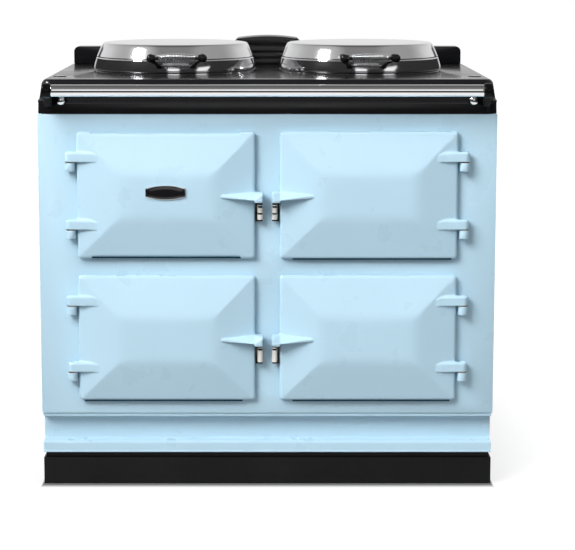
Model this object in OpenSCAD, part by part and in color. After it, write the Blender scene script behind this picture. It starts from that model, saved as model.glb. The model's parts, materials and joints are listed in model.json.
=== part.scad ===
// Cast iron range cooker: four hinged doors, two covered hotplates and a hand rail.
// Millimetres. +X is the cook's right, -Y points to the cook and +Z is up.
// The origin is on the floor, under the middle of the body.

/* [Body] */
// Width across the front plate
body_w = 987; // [960:1:1060]
// Depth from the front plate's face to the back panel's face
body_d = 680; // [640:1:740]
// Height of the worktop above the floor
worktop_h = 890; // [880:1:930]
// Thickness of the front plate
front_plate_t = 12; // [8:0.5:16]
// Thickness of the side and back panels
panel_t = 10; // [6:0.5:14]

/* [Base] */
// Height of the plinth boards
plinth_h = 59; // [45:1:80]
// Thickness of a plinth board
plinth_t = 18; // [12:1:25]
// How far the plinth and the moulding stand inside the front plate's width, on each side
base_inset = 2; // [0:0.5:4]
// Thickness of the base plate, which shows as the shadow gap above the plinth
base_plate_t = 12; // [8:1:20]
// How far the base plate's edge is set back
base_plate_in = 5; // [2:0.5:10]
// Height of the base moulding
moulding_h = 89; // [80:1:105]
// Depth of the front moulding's section, from its face inwards
moulding_t = 42; // [36:0.5:50]
// Depth of the front moulding's cove
cove_in = 28; // [16:0.5:32]
// Height of the front moulding's upright face, below its roll
moulding_face_h = 24; // [18:0.5:32]
// Height of the plain strip above the cove
strip_h = 7.5; // [4:0.5:10]
// Thickness of the base's plain side and back boards
base_board_t = 14; // [10:0.5:25]
// Diameter of a levelling foot
foot_d = 40; // [25:1:60]
// Distance from the body's side to the cable gland in its back
gland_in = 120; // [60:1:200]
// Height of the cable gland above the base
gland_up = 53; // [40:1:120]
// Bore of the cable gland
gland_bore_d = 14; // [10:0.5:18]
// Diameter of the gland's body, which passes through the back panel
gland_body_d = 24; // [20:0.5:28]
// Diameter of the gland's flange
gland_flange_d = 34; // [30:0.5:40]

/* [Worktop] */
// Height of the top plate's skirt, from its lip to the worktop
skirt_h = 74; // [70:1:84]
// How far the skirt's lip stands out past the front plate, on every side
lip_out = 1.5; // [0.5:0.5:4]
// Thickness of the top plate's deck
deck_t = 12; // [8:0.5:18]
// How far the deck's flat top stays inside the lip
deck_in = 20; // [18:0.5:26]
// Radius of the top plate's corners, seen from above
plate_corner_r = 30; // [25:1:40]
// Diameter of a round plug in the deck
plug_d = 29; // [20:1:40]
// Distance of a plug from the body's side
plug_in_x = 37.5; // [32:0.5:50]
// Distance of a plug behind the front plate's face
plug_in_y = 112; // [60:1:140]
// Height of the rear upstand above the deck
upstand_h = 42; // [30:1:60]
// Depth of the rear upstand
upstand_t = 52; // [30:1:60]
// Width of the rear upstand
upstand_w = 954; // [900:1:958]

/* [Vent cap] */
// Width of the vent cap
vent_w = 164; // [120:1:220]
// Depth of the vent cap
vent_d = 104; // [80:1:120]
// Height of the vent cap's lid above the deck, without its crown
vent_h = 64; // [55:1:80]
// Thickness of a vent fin
fin_t = 6; // [3:0.5:8]
// Number of vent fins
fin_n = 3; // [2:1:4]
// Depth of the grooves between the fins
fin_in = 9; // [4:1:16]

/* [Hand rail] */
// Diameter of the hand rail
rail_d = 26; // [20:1:32]
// Distance from the front plate's face to the rail's axis
rail_out = 55; // [48:1:75]
// Depth of the rail's axis below the worktop
rail_drop = 20; // [18:1:30]
// Distance of a bracket's inner face from the body's side
rail_end_in = 35.5; // [30:0.5:60]
// Thickness of a rail bracket
bracket_t = 17; // [10:0.5:25]

/* [Hotplates] */
// Distance of each hotplate's centre from the middle
hotplate_x = 213; // [208:0.5:235]
// Distance of the hotplates' centres behind the front plate's face
hotplate_in = 341; // [325:1:350]
// How far a lid reaches past the hotplate under it
lid_lap = 20; // [18:0.5:36]
// Width of the seating ring round a hotplate
ring_w = 14; // [10:0.5:15]
// Thickness of a hotplate
hotplate_t = 48; // [30:1:50]
// How far a hotplate stands above the deck
hotplate_rise = 4; // [2:0.5:6]
// Gap between a hotplate and the deck's hole
hotplate_gap = 4; // [2:0.5:5]
// Thickness of the ring on which a lid rests
ring_t = 2.7; // [1.5:0.1:2.8]

/* [Lids] */
// Largest diameter of a lid
lid_d = 376; // [372:1:392]
// Height of the lid's shoulder above the deck
lid_h = 66; // [60:1:80]
// Rise of the lid's crown above its shoulder
lid_crown = 4; // [2:0.5:10]
// Wall thickness of a lid
lid_wall = 3; // [2:0.5:4]
// Distance from the back of the lid to its hinge axis
lid_hinge_out = 25; // [22:0.5:30]
// Height of the lid hinge's axis above the deck
lid_hinge_h = 45; // [42:0.5:50]
// Width of the lid's hinge arm
lid_arm_w = 40; // [30:1:60]
// Turn of the lid's handle about the lid's centre
lid_handle_turn = 3.5; // [0:0.5:6]
// Distance from the front of the lid to the handle's axis
lid_handle_out = 33; // [30:1:45]
// Height of the handle's axis above the deck
lid_handle_h = 39; // [34:1:46]
// Length of the handle over its ball ends
lid_handle_l = 134; // [124:1:160]
// Diameter of a ball end
lid_ball_d = 19; // [16:0.5:24]
// Diameter of the rod through the handle's coil
lid_rod_d = 6; // [4:0.5:8]

/* [Handle coil] */
// Length of the coil
coil_l = 94; // [85:1:98]
// Outer diameter at the coil's middle
coil_mid_d = 23; // [20:0.5:26]
// Outer diameter at the coil's ends
coil_end_d = 15; // [14:0.5:16]
// Diameter of the coil's wire
coil_wire_d = 3.5; // [2.5:0.1:3.8]
// Number of turns
coil_turns = 15; // [12:1:16]

/* [Doors] */
// Width of a door
door_w = 383; // [370:1:390]
// Height of a door
door_h = 275; // [260:1:280]
// Gap between a left door and a right door
door_gap_x = 53; // [50:1:60]
// Gap between a lower door and an upper door
door_gap_z = 37.5; // [30:0.5:45]
// Height of the lower doors above the base moulding
door_low = 31.5; // [25:0.5:45]
// Gap between a door's back and the front plate
door_gap_y = 1; // [0.5:0.1:2]
// Thickness of a door's rim
door_rim_t = 14; // [12:0.5:16]
// Radius of the rim's rounded edge
door_edge_r = 4.5; // [2:0.5:6]
// Width of the sloping band round a door
door_band_w = 84; // [70:1:95]
// Rise of the sloping band
door_band_h = 20; // [14:0.5:26]
// Rise of the door's middle above its band
door_crown = 2; // [0:0.5:4]
// Wall thickness of a door casting
door_wall = 8; // [5:0.5:9]
// Radius of a door's corners
door_corner_r = 7; // [3:0.5:12]
// Overlap of a door on each side of its opening
door_lap_x = 16.5; // [14:0.5:25]
// Overlap of a door above and below its opening
door_lap_z = 12.5; // [10:0.5:20]
// Depth by which the inner door panel enters its opening
plug_depth = 20; // [12:1:30]
// Clearance round the inner door panel in its opening
plug_clear = 5; // [4:0.5:8]
// Length of the long step in the control door's top and bottom edges
step_l = 325; // [250:1:340]
// Depth of that step
step_in = 3.6; // [1:0.2:5]
// Distance of that step from the door's hinge side
step_from_hinge = 28.5; // [20:0.5:40]

/* [Hinges] */
// Distance from a door's edge to its hinge axis
hinge_out = 14; // [13:0.5:20]
// Distance from the front plate's face to a hinge axis
hinge_fwd = 14; // [13:0.5:15]
// Height of a hinge arm
arm_h = 21; // [16:0.5:26]
// Radius of a hinge arm's end
arm_r = 11; // [10:0.5:12]
// Length of a hinge arm from its axis over the door
arm_l = 52; // [40:1:60]
// Height of the lower arm above the door's bottom edge
arm_low = 65; // [55:1:80]
// Distance of the upper arm below the door's top edge
arm_high = 43; // [35:1:60]
// Diameter of a hinge pin
pin_d = 10; // [8:0.5:12]
// Radial clearance of a pin in the piece that turns on it
pin_clear = 0.05; // [0.02:0.01:0.09]
// Depth of a pin's blind hole in its arm
pin_hole_h = 16; // [10:0.5:18]
// Diameter of a hinge lug
lug_d = 21; // [18:0.5:22]
// Height of a hinge lug
lug_h = 18; // [14:0.5:24]
// Thickness of a hinge washer
washer_t = 2; // [1:0.1:3]
// Gap between the faces of two pieces that move past each other
face_gap = 0.3; // [0.2:0.05:0.5]

/* [Door handles and catches] */
// Distance from the body's middle to a handle's tip
handle_tip_x = 10.4; // [9:0.2:14]
// Length of a handle
handle_l = 89; // [75:1:100]
// Height of a handle at its tip
handle_h = 20; // [17:0.2:24]
// Depth of a handle's front ridge below its top
handle_ridge = 13.5; // [8:0.5:15]
// Height of a handle's top above the door's middle
handle_up = 7.5; // [5:0.5:12]
// How far a handle's tip stands out from the front plate's face
handle_out = 44; // [40:1:56]
// Radius of a handle's inner end
handle_end_r = 4; // [3:0.5:6]
// Gap between a handle and the catch below it
catch_gap = 3.7; // [1:0.1:6]
// Distance from the body's middle to a catch roller's axis
catch_x = 15.5; // [15:0.1:17]
// Diameter of a catch roller
roller_d = 11.7; // [9:0.1:12]
// Length of a catch roller
roller_l = 32.6; // [25:0.2:36]
// Diameter of a catch pin
catch_pin_d = 5; // [4:0.5:6]
// Thickness of a catch bracket's ears
ear_t = 2.8; // [2:0.2:3.6]

/* [Badge] */
// Width of the blank badge
badge_w = 86; // [60:1:110]
// Height of the badge at its middle
badge_h = 31; // [24:1:40]
// Height of the badge at its ends
badge_end_h = 18; // [12:1:24]
// Thickness of the badge
badge_t = 4; // [2:0.5:6]
// Height of the badge's middle above the door's middle
badge_up = 9.5; // [0:0.5:20]

/* [Ovens] */
// Depth of an oven behind the front plate
oven_d = 490; // [420:1:520]
// Wall thickness of an oven
oven_wall = 8; // [5:0.5:10]
// Width of the ledges that carry a shelf
ledge_w = 9; // [6:0.5:14]
// Thickness of a shelf ledge
ledge_t = 5; // [3:0.5:8]
// Height of the shelf ledges above the oven's floor
ledge_z = 110; // [60:1:150]
// Diameter of a shelf's frame rod
shelf_rod_d = 8; // [6:0.5:10]
// Diameter of a shelf's cross bars
shelf_bar_d = 5; // [3:0.5:6]
// Number of cross bars in a shelf
shelf_bars = 14; // [8:1:20]
// Depth of a shelf, front to back
shelf_d = 400; // [300:1:410]
// Diameter of an oven's heating elements
element_d = 8; // [6:0.5:9]
// Distance from the ends of a heating element to the oven's front and back
element_end = 65; // [45:1:110]
// Number of heating elements on an oven
element_n = 4; // [3:1:6]

/* [Controls] */
// Depth of the control compartment
control_d = 150; // [110:1:200]
// Distance from the front plate's face to the control panel
control_in = 62; // [50:1:75]
// Thickness of the control compartment's sheet metal
sheet_t = 2; // [1:0.5:3]
// Diameter of a control knob
knob_d = 38; // [28:1:46]
// Height of a control knob
knob_h = 20; // [14:1:24]
// Distance between two control knobs
knob_pitch = 90; // [60:1:110]
// Diameter of a knob's spindle
spindle_d = 6; // [5:0.5:8]

/* [Hidden] */
$fn = 64;
// Facets round a small curved shape that has no fit
small_fn = 32;
// Smallest angle between two points of a rounded outline
arc_step = 15;
// Overlap that joins two shapes of one piece, and overshoot of a cut
eps = 0.5;

// Main planes and heights
front_y = -body_d / 2;
rear_y = body_d / 2;
base_w = body_w - 2 * base_inset;
base_d = body_d - 2 * base_inset;
base_plate_z = plinth_h;
moulding_z = base_plate_z + base_plate_t;
body_z = moulding_z + moulding_h;
lip_z = worktop_h - skirt_h;
body_h = lip_z - body_z;

// Plan size of the top plate over its lip
plate_w = body_w + 2 * lip_out;
plate_d = body_d + 2 * lip_out;

// Sizes and places of the four doorways: [side, row], side -1 left and 1 right
door_x = door_gap_x / 2 + door_w / 2;
door_z0 = body_z + door_low;
door_pitch_z = door_h + door_gap_z;
mouth_w = door_w - 2 * door_lap_x;
mouth_h = door_h - 2 * door_lap_z;
door_back_y = front_y - door_gap_y;
hinge_x = door_x + door_w / 2 + hinge_out;
hinge_y = front_y - hinge_fwd;
hinge_local_y = hinge_y - door_back_y;
DOORS = [[-1, 1], [1, 1], [-1, 0], [1, 0]];
function door_bottom(row) = door_z0 + row * door_pitch_z;
function door_middle(row) = door_bottom(row) + door_h / 2;
ARM_STARTS = [arm_low, door_h - arm_high - arm_h];

// Ovens
oven_y = front_y + front_plate_t;
oven_out_w = mouth_w + 2 * oven_wall;
oven_out_h = mouth_h + 2 * oven_wall;
OVENS = [[1, 1], [-1, 0], [1, 0]];
element_pitch = mouth_w / element_n;
element_room = element_d + 1;

// Hotplates and lids
hotplate_y = front_y + hotplate_in;
hotplate_z = worktop_h + hotplate_rise - hotplate_t;
hotplate_d = lid_d - 2 * lid_lap;
deck_hole_d = hotplate_d + 2 * hotplate_gap;
ring_bore_d = deck_hole_d - hotplate_gap;
hotplate_element_d = 8;
lid_r = lid_d / 2;
lid_z = ring_t + face_gap;
lid_hinge_y = hotplate_y + lid_r + lid_hinge_out;
lid_hinge_z = worktop_h + lid_hinge_h;
lid_handle_y = -(lid_r + lid_handle_out);
lid_knuckle_r = 11;
lid_cheek_t = 8;
lid_panel_z = 20;
lid_panel_t = 3;
ball_x = lid_handle_l / 2 - lid_ball_d / 2;
// Radius of the lid's side where its handle and its hinge arm meet it
lid_seat_r = lid_r - 6.5;

// Catches: a roller hangs just under its handle's tip
handle_bottom = handle_up - handle_h;
catch_top = handle_bottom - catch_gap;
catch_bottom = catch_top - 2 * ear_t - 2 * face_gap - roller_l;
catch_y = hinge_y;
catch_web_t = 3.6;

// Insulation, a little clear of all that it surrounds
fill_gap = 0.2;
fill_top = hotplate_z - hotplate_element_d - fill_gap;

// Rail
rail_y = front_y - rail_out;
rail_z = worktop_h - rail_drop;
rail_half = body_w / 2 - rail_end_in;
boss_d = 23;
boss_l = 12;
bolt_d = 19;

// ---- Helpers ----

// Points of an arc about c, from angle a0 to a1
function arc(c, r, a0, a1) =
    let (n = max(2, ceil(abs(a1 - a0) / arc_step)))
    [for (i = [0:n]) c + r * [cos(a0 + (a1 - a0) * i / n), sin(a0 + (a1 - a0) * i / n)]];

// Points of a curve from a to b that is pulled towards c
function bend(a, c, b, n = 6) =
    [for (i = [0:n]) let (t = i / n) (1 - t) * (1 - t) * a + 2 * t * (1 - t) * c + t * t * b];

// A box centred on x and y, standing on z = 0
module block(size) {
    translate([-size.x / 2, -size.y / 2, 0])
        cube(size);
}

// A rectangle with rounded corners, centred
module rounded_rect(w, h, r) {
    square([w - 2 * r, h], center = true);
    square([w, h - 2 * r], center = true);
    for (x = [-1, 1], y = [-1, 1])
        translate([x * (w / 2 - r), y * (h / 2 - r)])
            circle(r);
}

// Extrudes a drawing of (y, z) along +X
module along_x(l) {
    rotate([90, 0, 90])
        linear_extrude(l)
            children();
}

// Extrudes a drawing of (x, z) along +Y
module along_y(l) {
    translate([0, l, 0])
        rotate([90, 0, 0])
            linear_extrude(l)
                children();
}

// A rod along +X
module rod_x(d, l) {
    rotate([0, 90, 0])
        cylinder(d = d, h = l);
}

// A rod along +Y
module rod_y(d, l) {
    rotate([-90, 0, 0])
        cylinder(d = d, h = l);
}

// A section of (outwards, z) carried round a rectangle of w by d with corners of radius r.
// The drawing's x is 0 at the rectangle's edge and negative inside it.
module carried_round(w, d, r) {
    for (side = [0:3]) {
        across = side % 2 == 0 ? d : w;
        run = (side % 2 == 0 ? w : d) - 2 * r;
        rotate([0, 0, side * 90])
            translate([-run / 2, across / 2, 0])
                rotate([90, 0, 90])
                    linear_extrude(run)
                        children();
    }
    for (sx = [-1, 1], sy = [-1, 1])
        translate([sx * (w / 2 - r), sy * (d / 2 - r), 0])
            mirror([sx < 0 ? 1 : 0, 0, 0])
                mirror([0, sy < 0 ? 1 : 0, 0])
                    rotate_extrude(angle = 90)
                        translate([r, 0])
                            children();
}

// ---- Base ----

// Four boards under the body's edges and a stretcher under its middle
module plinth_boards() {
    side_l = base_d - 2 * plinth_t;
    color([0.07, 0.07, 0.07]) {
        for (s = [-1, 1])
            translate([0, s * (base_d - plinth_t) / 2, 0])
                block([base_w, plinth_t, plinth_h]);
        for (s = [-1, 1])
            translate([s * (base_w - plinth_t) / 2, 0, 0])
                block([plinth_t, side_l, plinth_h]);
        block([plinth_t, side_l, plinth_h]);
    }
}

module base_plate() {
    color([0.55, 0.56, 0.57])
        translate([0, 0, base_plate_z])
            block([base_w - 2 * base_plate_in, base_d - 2 * base_plate_in, base_plate_t]);
}

// A threaded stem and a pad in each corner, just inside the plinth
module levelling_feet() {
    pad_h = 12;
    stem_d = 12;
    inset = plinth_t + foot_d / 2 + 2 * foot_d;
    color([0.3, 0.3, 0.3])
        for (sx = [-1, 1], sy = [-1, 1])
            translate([sx * (base_w / 2 - inset), sy * (base_d / 2 - inset), 0]) {
                cylinder(d = foot_d, h = pad_h);
                cylinder(d = stem_d, h = plinth_h);
            }
}

// The front moulding's section in (y, z): an upright face, a roll, a deep cove and a strip
module moulding_section() {
    roll_top = moulding_face_h + 0.13 * moulding_h;
    roll_in = 0.3 * cove_in;
    roll_pull = 4;
    crease = 0.5;
    cove_z = 0.62 * moulding_h;
    cove_pull = 3;
    strip_z = moulding_h - strip_h;
    strip_pull = 2;
    strip_in = 1.5;
    foot_r = 1.5;
    polygon(concat(
        [[moulding_t, 0]],
        arc([foot_r, foot_r], foot_r, 270, 180),
        bend([0, moulding_face_h], [0, roll_top - roll_pull], [roll_in, roll_top]),
        bend([roll_in + 2 * crease, roll_top + crease], [cove_in, roll_top + cove_pull], [cove_in, cove_z]),
        bend([cove_in, cove_z + 2 * crease], [cove_in, strip_z - strip_pull], [strip_in, strip_z]),
        [[strip_in, moulding_h], [moulding_t, moulding_h]]));
}

// A moulded front, with plain boards behind it at the sides and the back
module base_moulding() {
    board_l = base_d - moulding_t;
    color([0.73, 0.86, 0.92])
        translate([0, 0, moulding_z]) {
            translate([-base_w / 2, -base_d / 2, 0])
                along_x(base_w)
                    moulding_section();
            for (s = [-1, 1])
                translate([s * (base_w - base_board_t) / 2, moulding_t / 2, 0])
                    block([base_board_t, board_l, moulding_h]);
            translate([0, (base_d - base_board_t) / 2, 0])
                block([base_w, base_board_t, moulding_h]);
        }
}

// ---- Body panels ----

module front_plate() {
    color([0.73, 0.86, 0.92])
        difference() {
            translate([0, front_y + front_plate_t / 2, body_z])
                block([body_w, front_plate_t, body_h]);
            for (d = DOORS)
                translate([d[0] * door_x, front_y + front_plate_t / 2, door_middle(d[1]) - mouth_h / 2])
                    block([mouth_w, front_plate_t + 2 * eps, mouth_h]);
        }
}

module side_panels() {
    panel_l = body_d - front_plate_t - panel_t;
    color([0.73, 0.86, 0.92])
        for (s = [-1, 1])
            translate([s * (body_w - panel_t) / 2, (front_plate_t - panel_t) / 2, body_z])
                block([panel_t, panel_l, body_h]);
}

gland_x = body_w / 2 - gland_in;
gland_z = body_z + gland_up;

module back_panel() {
    color([0.5, 0.5, 0.5])
        difference() {
            translate([0, rear_y - panel_t / 2, body_z])
                block([body_w, panel_t, body_h]);
            translate([gland_x, rear_y - panel_t - eps, gland_z])
                rod_y(gland_body_d, panel_t + 2 * eps);
        }
}

// A bushing through the back panel, kept inside the depth of the top plate's lip
module cable_gland() {
    flange_t = lip_out;
    color([0.1, 0.1, 0.1])
        translate([gland_x, rear_y, gland_z])
            difference() {
                union() {
                    rod_y(gland_flange_d, flange_t);
                    translate([0, -panel_t, 0])
                        rod_y(gland_body_d, panel_t + flange_t);
                }
                translate([0, -panel_t - eps, 0])
                    rod_y(gland_bore_d, panel_t + flange_t + 2 * eps);
            }
}

// ---- Worktop ----

// The skirt's outer line from its lip up to the deck, in (outwards, z above the lip)
function skirt_line() =
    let (
        corner_r = 13,
        edge_r = 1.2,
        bead_z = 0.35 * skirt_h,
        bead_half = 6,
        bead_r = 5.2,
        bead_in = 5,
        bead_angle = 40,
        below_in = 0.6,
        above_in = 3.2,
        slope_in = 8
    )
    concat(
        [[-edge_r, 0]],
        arc([-edge_r, edge_r], edge_r, -45, 0),
        [[-below_in, bead_z - bead_half]],
        arc([-bead_in, bead_z], bead_r, -bead_angle, bead_angle),
        [[-above_in, bead_z + bead_half]],
        bend([-slope_in, skirt_h - corner_r], [-slope_in - 2, skirt_h], [-deck_in, skirt_h]));

module skirt_section() {
    inner = -deck_in + 4;
    polygon(concat(
        skirt_line(),
        [[-plate_corner_r, skirt_h], [-plate_corner_r, skirt_h - deck_t],
         [inner - 4, skirt_h - deck_t - 4], [inner, 3], [-5, 0]]));
}

// The space inside the skirt's outer line, for cutting pieces that meet the top plate
module top_plate_envelope() {
    translate([0, 0, lip_z]) {
        carried_round(plate_w, plate_d, plate_corner_r)
            polygon(concat(skirt_line(), [[-plate_corner_r, skirt_h], [-plate_corner_r, 0]]));
        block([plate_w - 2 * plate_corner_r, plate_d - 2 * plate_corner_r, skirt_h]);
    }
}

module top_plate() {
    color([0.05, 0.05, 0.05])
        difference() {
            union() {
                translate([0, 0, lip_z])
                    carried_round(plate_w, plate_d, plate_corner_r)
                        skirt_section();
                translate([0, 0, worktop_h - deck_t])
                    block([plate_w - 2 * plate_corner_r, plate_d - 2 * plate_corner_r, deck_t]);
            }
            for (s = [-1, 1])
                translate([s * hotplate_x, hotplate_y, worktop_h - deck_t - eps])
                    cylinder(d = deck_hole_d, h = deck_t + 2 * eps);
        }
}

// Shallow discs that cover the fixing holes near the front corners
module top_plate_plugs() {
    disc_t = 1.6;
    color([0.05, 0.05, 0.05])
        for (s = [-1, 1])
            translate([s * (body_w / 2 - plug_in_x), front_y + plug_in_y, worktop_h])
                cylinder(d = plug_d, h = disc_t);
}

vent_y = rear_y - vent_d / 2 - 4;
vent_corner_r = 18;

// Left and right halves, with the vent cap between them
module rear_upstand() {
    top_r = 12;
    half_w = (upstand_w - vent_w) / 2 - 1;
    color([0.05, 0.05, 0.05])
        for (s = [-1, 1])
            mirror([s < 0 ? 1 : 0, 0, 0])
                translate([vent_w / 2 + 1, rear_y - 4 - upstand_t, worktop_h])
                    along_y(upstand_t) {
                        square([half_w, upstand_h - top_r]);
                        square([half_w - top_r, upstand_h]);
                        translate([half_w - top_r, upstand_h - top_r])
                            circle(top_r);
                    }
}

// A finned block under a lid whose top is slightly crowned
module vent_cap() {
    cap_t = 12;
    crown = 5;
    edge_r = 7;
    top_half = vent_w / 2 - 2 * edge_r;
    gap_t = (vent_h - cap_t - fin_n * fin_t) / (fin_n + 1);
    half = vent_w / 2;
    color([0.06, 0.06, 0.06])
        translate([0, vent_y, worktop_h]) {
            linear_extrude(vent_h)
                rounded_rect(vent_w - 2 * fin_in, vent_d - 2 * fin_in, vent_corner_r / 2);
            for (i = [0:fin_n - 1])
                translate([0, 0, gap_t / 2 + i * (fin_t + gap_t)])
                    linear_extrude(fin_t)
                        rounded_rect(vent_w, vent_d, vent_corner_r);
            intersection() {
                translate([0, 0, vent_h - cap_t])
                    linear_extrude(cap_t + crown + eps)
                        rounded_rect(vent_w, vent_d, vent_corner_r);
                translate([0, -vent_d / 2, vent_h - cap_t])
                    along_y(vent_d)
                        polygon(concat(
                            [[-half, 0], [half, 0]],
                            bend([half - 1, cap_t / 4], [half - edge_r, cap_t], [top_half, cap_t], 5),
                            bend([top_half, cap_t], [0, cap_t + 2 * crown], [-top_half, cap_t], 12),
                            bend([-top_half, cap_t], [edge_r - half, cap_t], [1 - half, cap_t / 4], 5)));
            }
        }
}

// ---- Hand rail ----

module hand_rail() {
    color([0.8, 0.8, 0.8])
        translate([-rail_half, rail_y, rail_z])
            rod_x(rail_d, 2 * rail_half);
}

boss_x = rail_half - boss_d / 2 - 5;
boss_z = rail_z - rail_d / 2 - boss_d / 2 + 0.5;

// An end plate round the rail's end, an arm back to the skirt, and a foot with a round boss
module rail_bracket() {
    wrap_r = rail_d / 2 + 2.5;
    foot_h = boss_d;
    arm_top = rail_z + wrap_r - 3;
    color([0.05, 0.05, 0.05])
        difference() {
            union() {
                translate([rail_half, 0, 0])
                    along_x(bracket_t)
                        union() {
                            translate([rail_y, rail_z])
                                circle(wrap_r);
                            polygon([[rail_y, rail_z + wrap_r], [front_y + deck_in, arm_top],
                                     [front_y + deck_in, boss_z - foot_h / 2],
                                     [front_y - boss_l, boss_z - foot_h / 2],
                                     [rail_y + 2, rail_z - wrap_r]]);
                        }
                translate([boss_x, front_y - boss_l + 3, boss_z - foot_h / 2])
                    cube([rail_half - boss_x + eps, boss_l + deck_in / 2, foot_h]);
                translate([boss_x, front_y - boss_l, boss_z])
                    rod_y(boss_d, boss_l + deck_in / 2);
            }
            top_plate_envelope();
        }
}

module rail_brackets() {
    rail_bracket();
    mirror([1, 0, 0])
        rail_bracket();
}

// Domed bolt heads, seated on the brackets' bosses
module rail_bolts() {
    head_h = 6;
    ball_r = (bolt_d * bolt_d / 4 + head_h * head_h) / (2 * head_h);
    color([0.8, 0.8, 0.8])
        for (s = [-1, 1])
            translate([s * boss_x, front_y - boss_l, boss_z])
                rotate([90, 0, 0])
                    intersection() {
                        cylinder(d = bolt_d, h = head_h);
                        translate([0, 0, head_h - ball_r])
                            sphere(ball_r);
                    }
}

// ---- Hotplates ----

module hotplates() {
    edge = 3;
    color([0.15, 0.15, 0.15])
        for (s = [-1, 1])
            translate([s * hotplate_x, hotplate_y, hotplate_z])
                rotate_extrude()
                    polygon([[0, 0], [hotplate_d / 2, 0], [hotplate_d / 2, hotplate_t - edge],
                             [hotplate_d / 2 - edge, hotplate_t], [0, hotplate_t]]);
}

module hotplate_rings() {
    color([0.75, 0.75, 0.75])
        for (s = [-1, 1])
            translate([s * hotplate_x, hotplate_y, worktop_h])
                difference() {
                    cylinder(d = ring_bore_d + 2 * ring_w, h = ring_t);
                    translate([0, 0, -eps])
                        cylinder(d = ring_bore_d, h = ring_t + 2 * eps);
                }
}

// Three ring elements against the underside of each hotplate
module hotplate_elements() {
    tube_r = hotplate_element_d / 2;
    color([0.4, 0.4, 0.4])
        for (s = [-1, 1], ring = [1:3])
            translate([s * hotplate_x, hotplate_y, hotplate_z - hotplate_element_d])
                rotate_extrude()
                    translate([ring * hotplate_d / 8 - tube_r, 0])
                        square([hotplate_element_d, hotplate_element_d]);
}

// ---- Ovens ----

module at_oven(o) {
    translate([o[0] * door_x, oven_y, door_middle(o[1])])
        children();
}

// A cast box, open at the front, with a pair of shelf ledges behind the door panel's place
module oven(o) {
    ledge_l = oven_d - plug_depth;
    color([0.16, 0.16, 0.17])
        at_oven(o) {
            difference() {
                translate([-oven_out_w / 2, 0, -oven_out_h / 2])
                    cube([oven_out_w, oven_d + oven_wall, oven_out_h]);
                translate([-mouth_w / 2, -eps, -mouth_h / 2])
                    cube([mouth_w, oven_d + eps, mouth_h]);
            }
            for (s = [-1, 1])
                translate([s * (mouth_w - ledge_w) / 2, oven_d - ledge_l / 2, ledge_z - mouth_h / 2])
                    block([ledge_w, ledge_l, ledge_t]);
        }
}

// A grid of cross bars between two side rods, resting on the oven's ledges
module oven_shelves() {
    rod_x_pos = mouth_w / 2 - shelf_rod_d / 2 - 1;
    shelf_y = plug_depth + (oven_d - plug_depth - shelf_d) / 2;
    bar_pitch = (shelf_d - shelf_rod_d) / (shelf_bars - 1);
    rest_z = ledge_z + ledge_t - mouth_h / 2 + shelf_rod_d / 2;
    color([0.7, 0.7, 0.7])
        for (o = OVENS)
            at_oven(o)
                translate([0, shelf_y, rest_z]) {
                    for (s = [-1, 1])
                        translate([s * rod_x_pos, 0, 0])
                            rod_y(shelf_rod_d, shelf_d);
                    for (i = [0:shelf_bars - 1])
                        translate([-rod_x_pos, shelf_rod_d / 2 + i * bar_pitch, 0])
                            rod_x(shelf_bar_d, 2 * rod_x_pos);
                }
}

// Straight bars along the top of each oven
module oven_elements() {
    color([0.4, 0.4, 0.4])
        for (o = OVENS)
            at_oven(o)
                for (i = [0:element_n - 1])
                    translate([(i + 0.5) * element_pitch - mouth_w / 2 - element_d / 2,
                               element_end, oven_out_h / 2])
                        cube([element_d, oven_d - 2 * element_end, element_d]);
}

// ---- Controls ----

control_face_y = front_y + control_in;
function knob_x(i) = -door_x + i * knob_pitch;

// An open sheet-metal box behind the control door, with the panel set back in it
module control_panel() {
    depth = control_d - front_plate_t;
    panel_y = control_face_y - front_y - front_plate_t;
    color([0.35, 0.36, 0.37])
        translate([-door_x, oven_y, door_middle(1)])
            difference() {
                translate([-mouth_w / 2 - sheet_t, 0, -mouth_h / 2 - sheet_t])
                    cube([mouth_w + 2 * sheet_t, depth, mouth_h + 2 * sheet_t]);
                translate([-mouth_w / 2, -eps, -mouth_h / 2])
                    cube([mouth_w, panel_y + eps, mouth_h]);
                translate([-mouth_w / 2, panel_y + sheet_t, -mouth_h / 2])
                    cube([mouth_w, depth - panel_y - 2 * sheet_t, mouth_h]);
                for (i = [-1:1])
                    translate([i * knob_pitch, panel_y - eps, 0])
                        rod_y(spindle_d + 2 * pin_clear, sheet_t + 2 * eps);
            }
}

// A round knob with a grip bar across it and a spindle through the panel
module control_knob(i) {
    skirt_t = 4;
    grip_w = 9;
    color([0.1, 0.1, 0.1])
        translate([knob_x(i), control_face_y - face_gap, door_middle(1)]) {
            rotate([90, 0, 0]) {
                cylinder(d = knob_d, h = skirt_t);
                intersection() {
                    cylinder(d = knob_d - 4, h = knob_h);
                    block([grip_w, knob_d, knob_h]);
                }
            }
            rod_y(spindle_d, face_gap + 4 * sheet_t);
        }
}

// ---- Insulation ----

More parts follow.
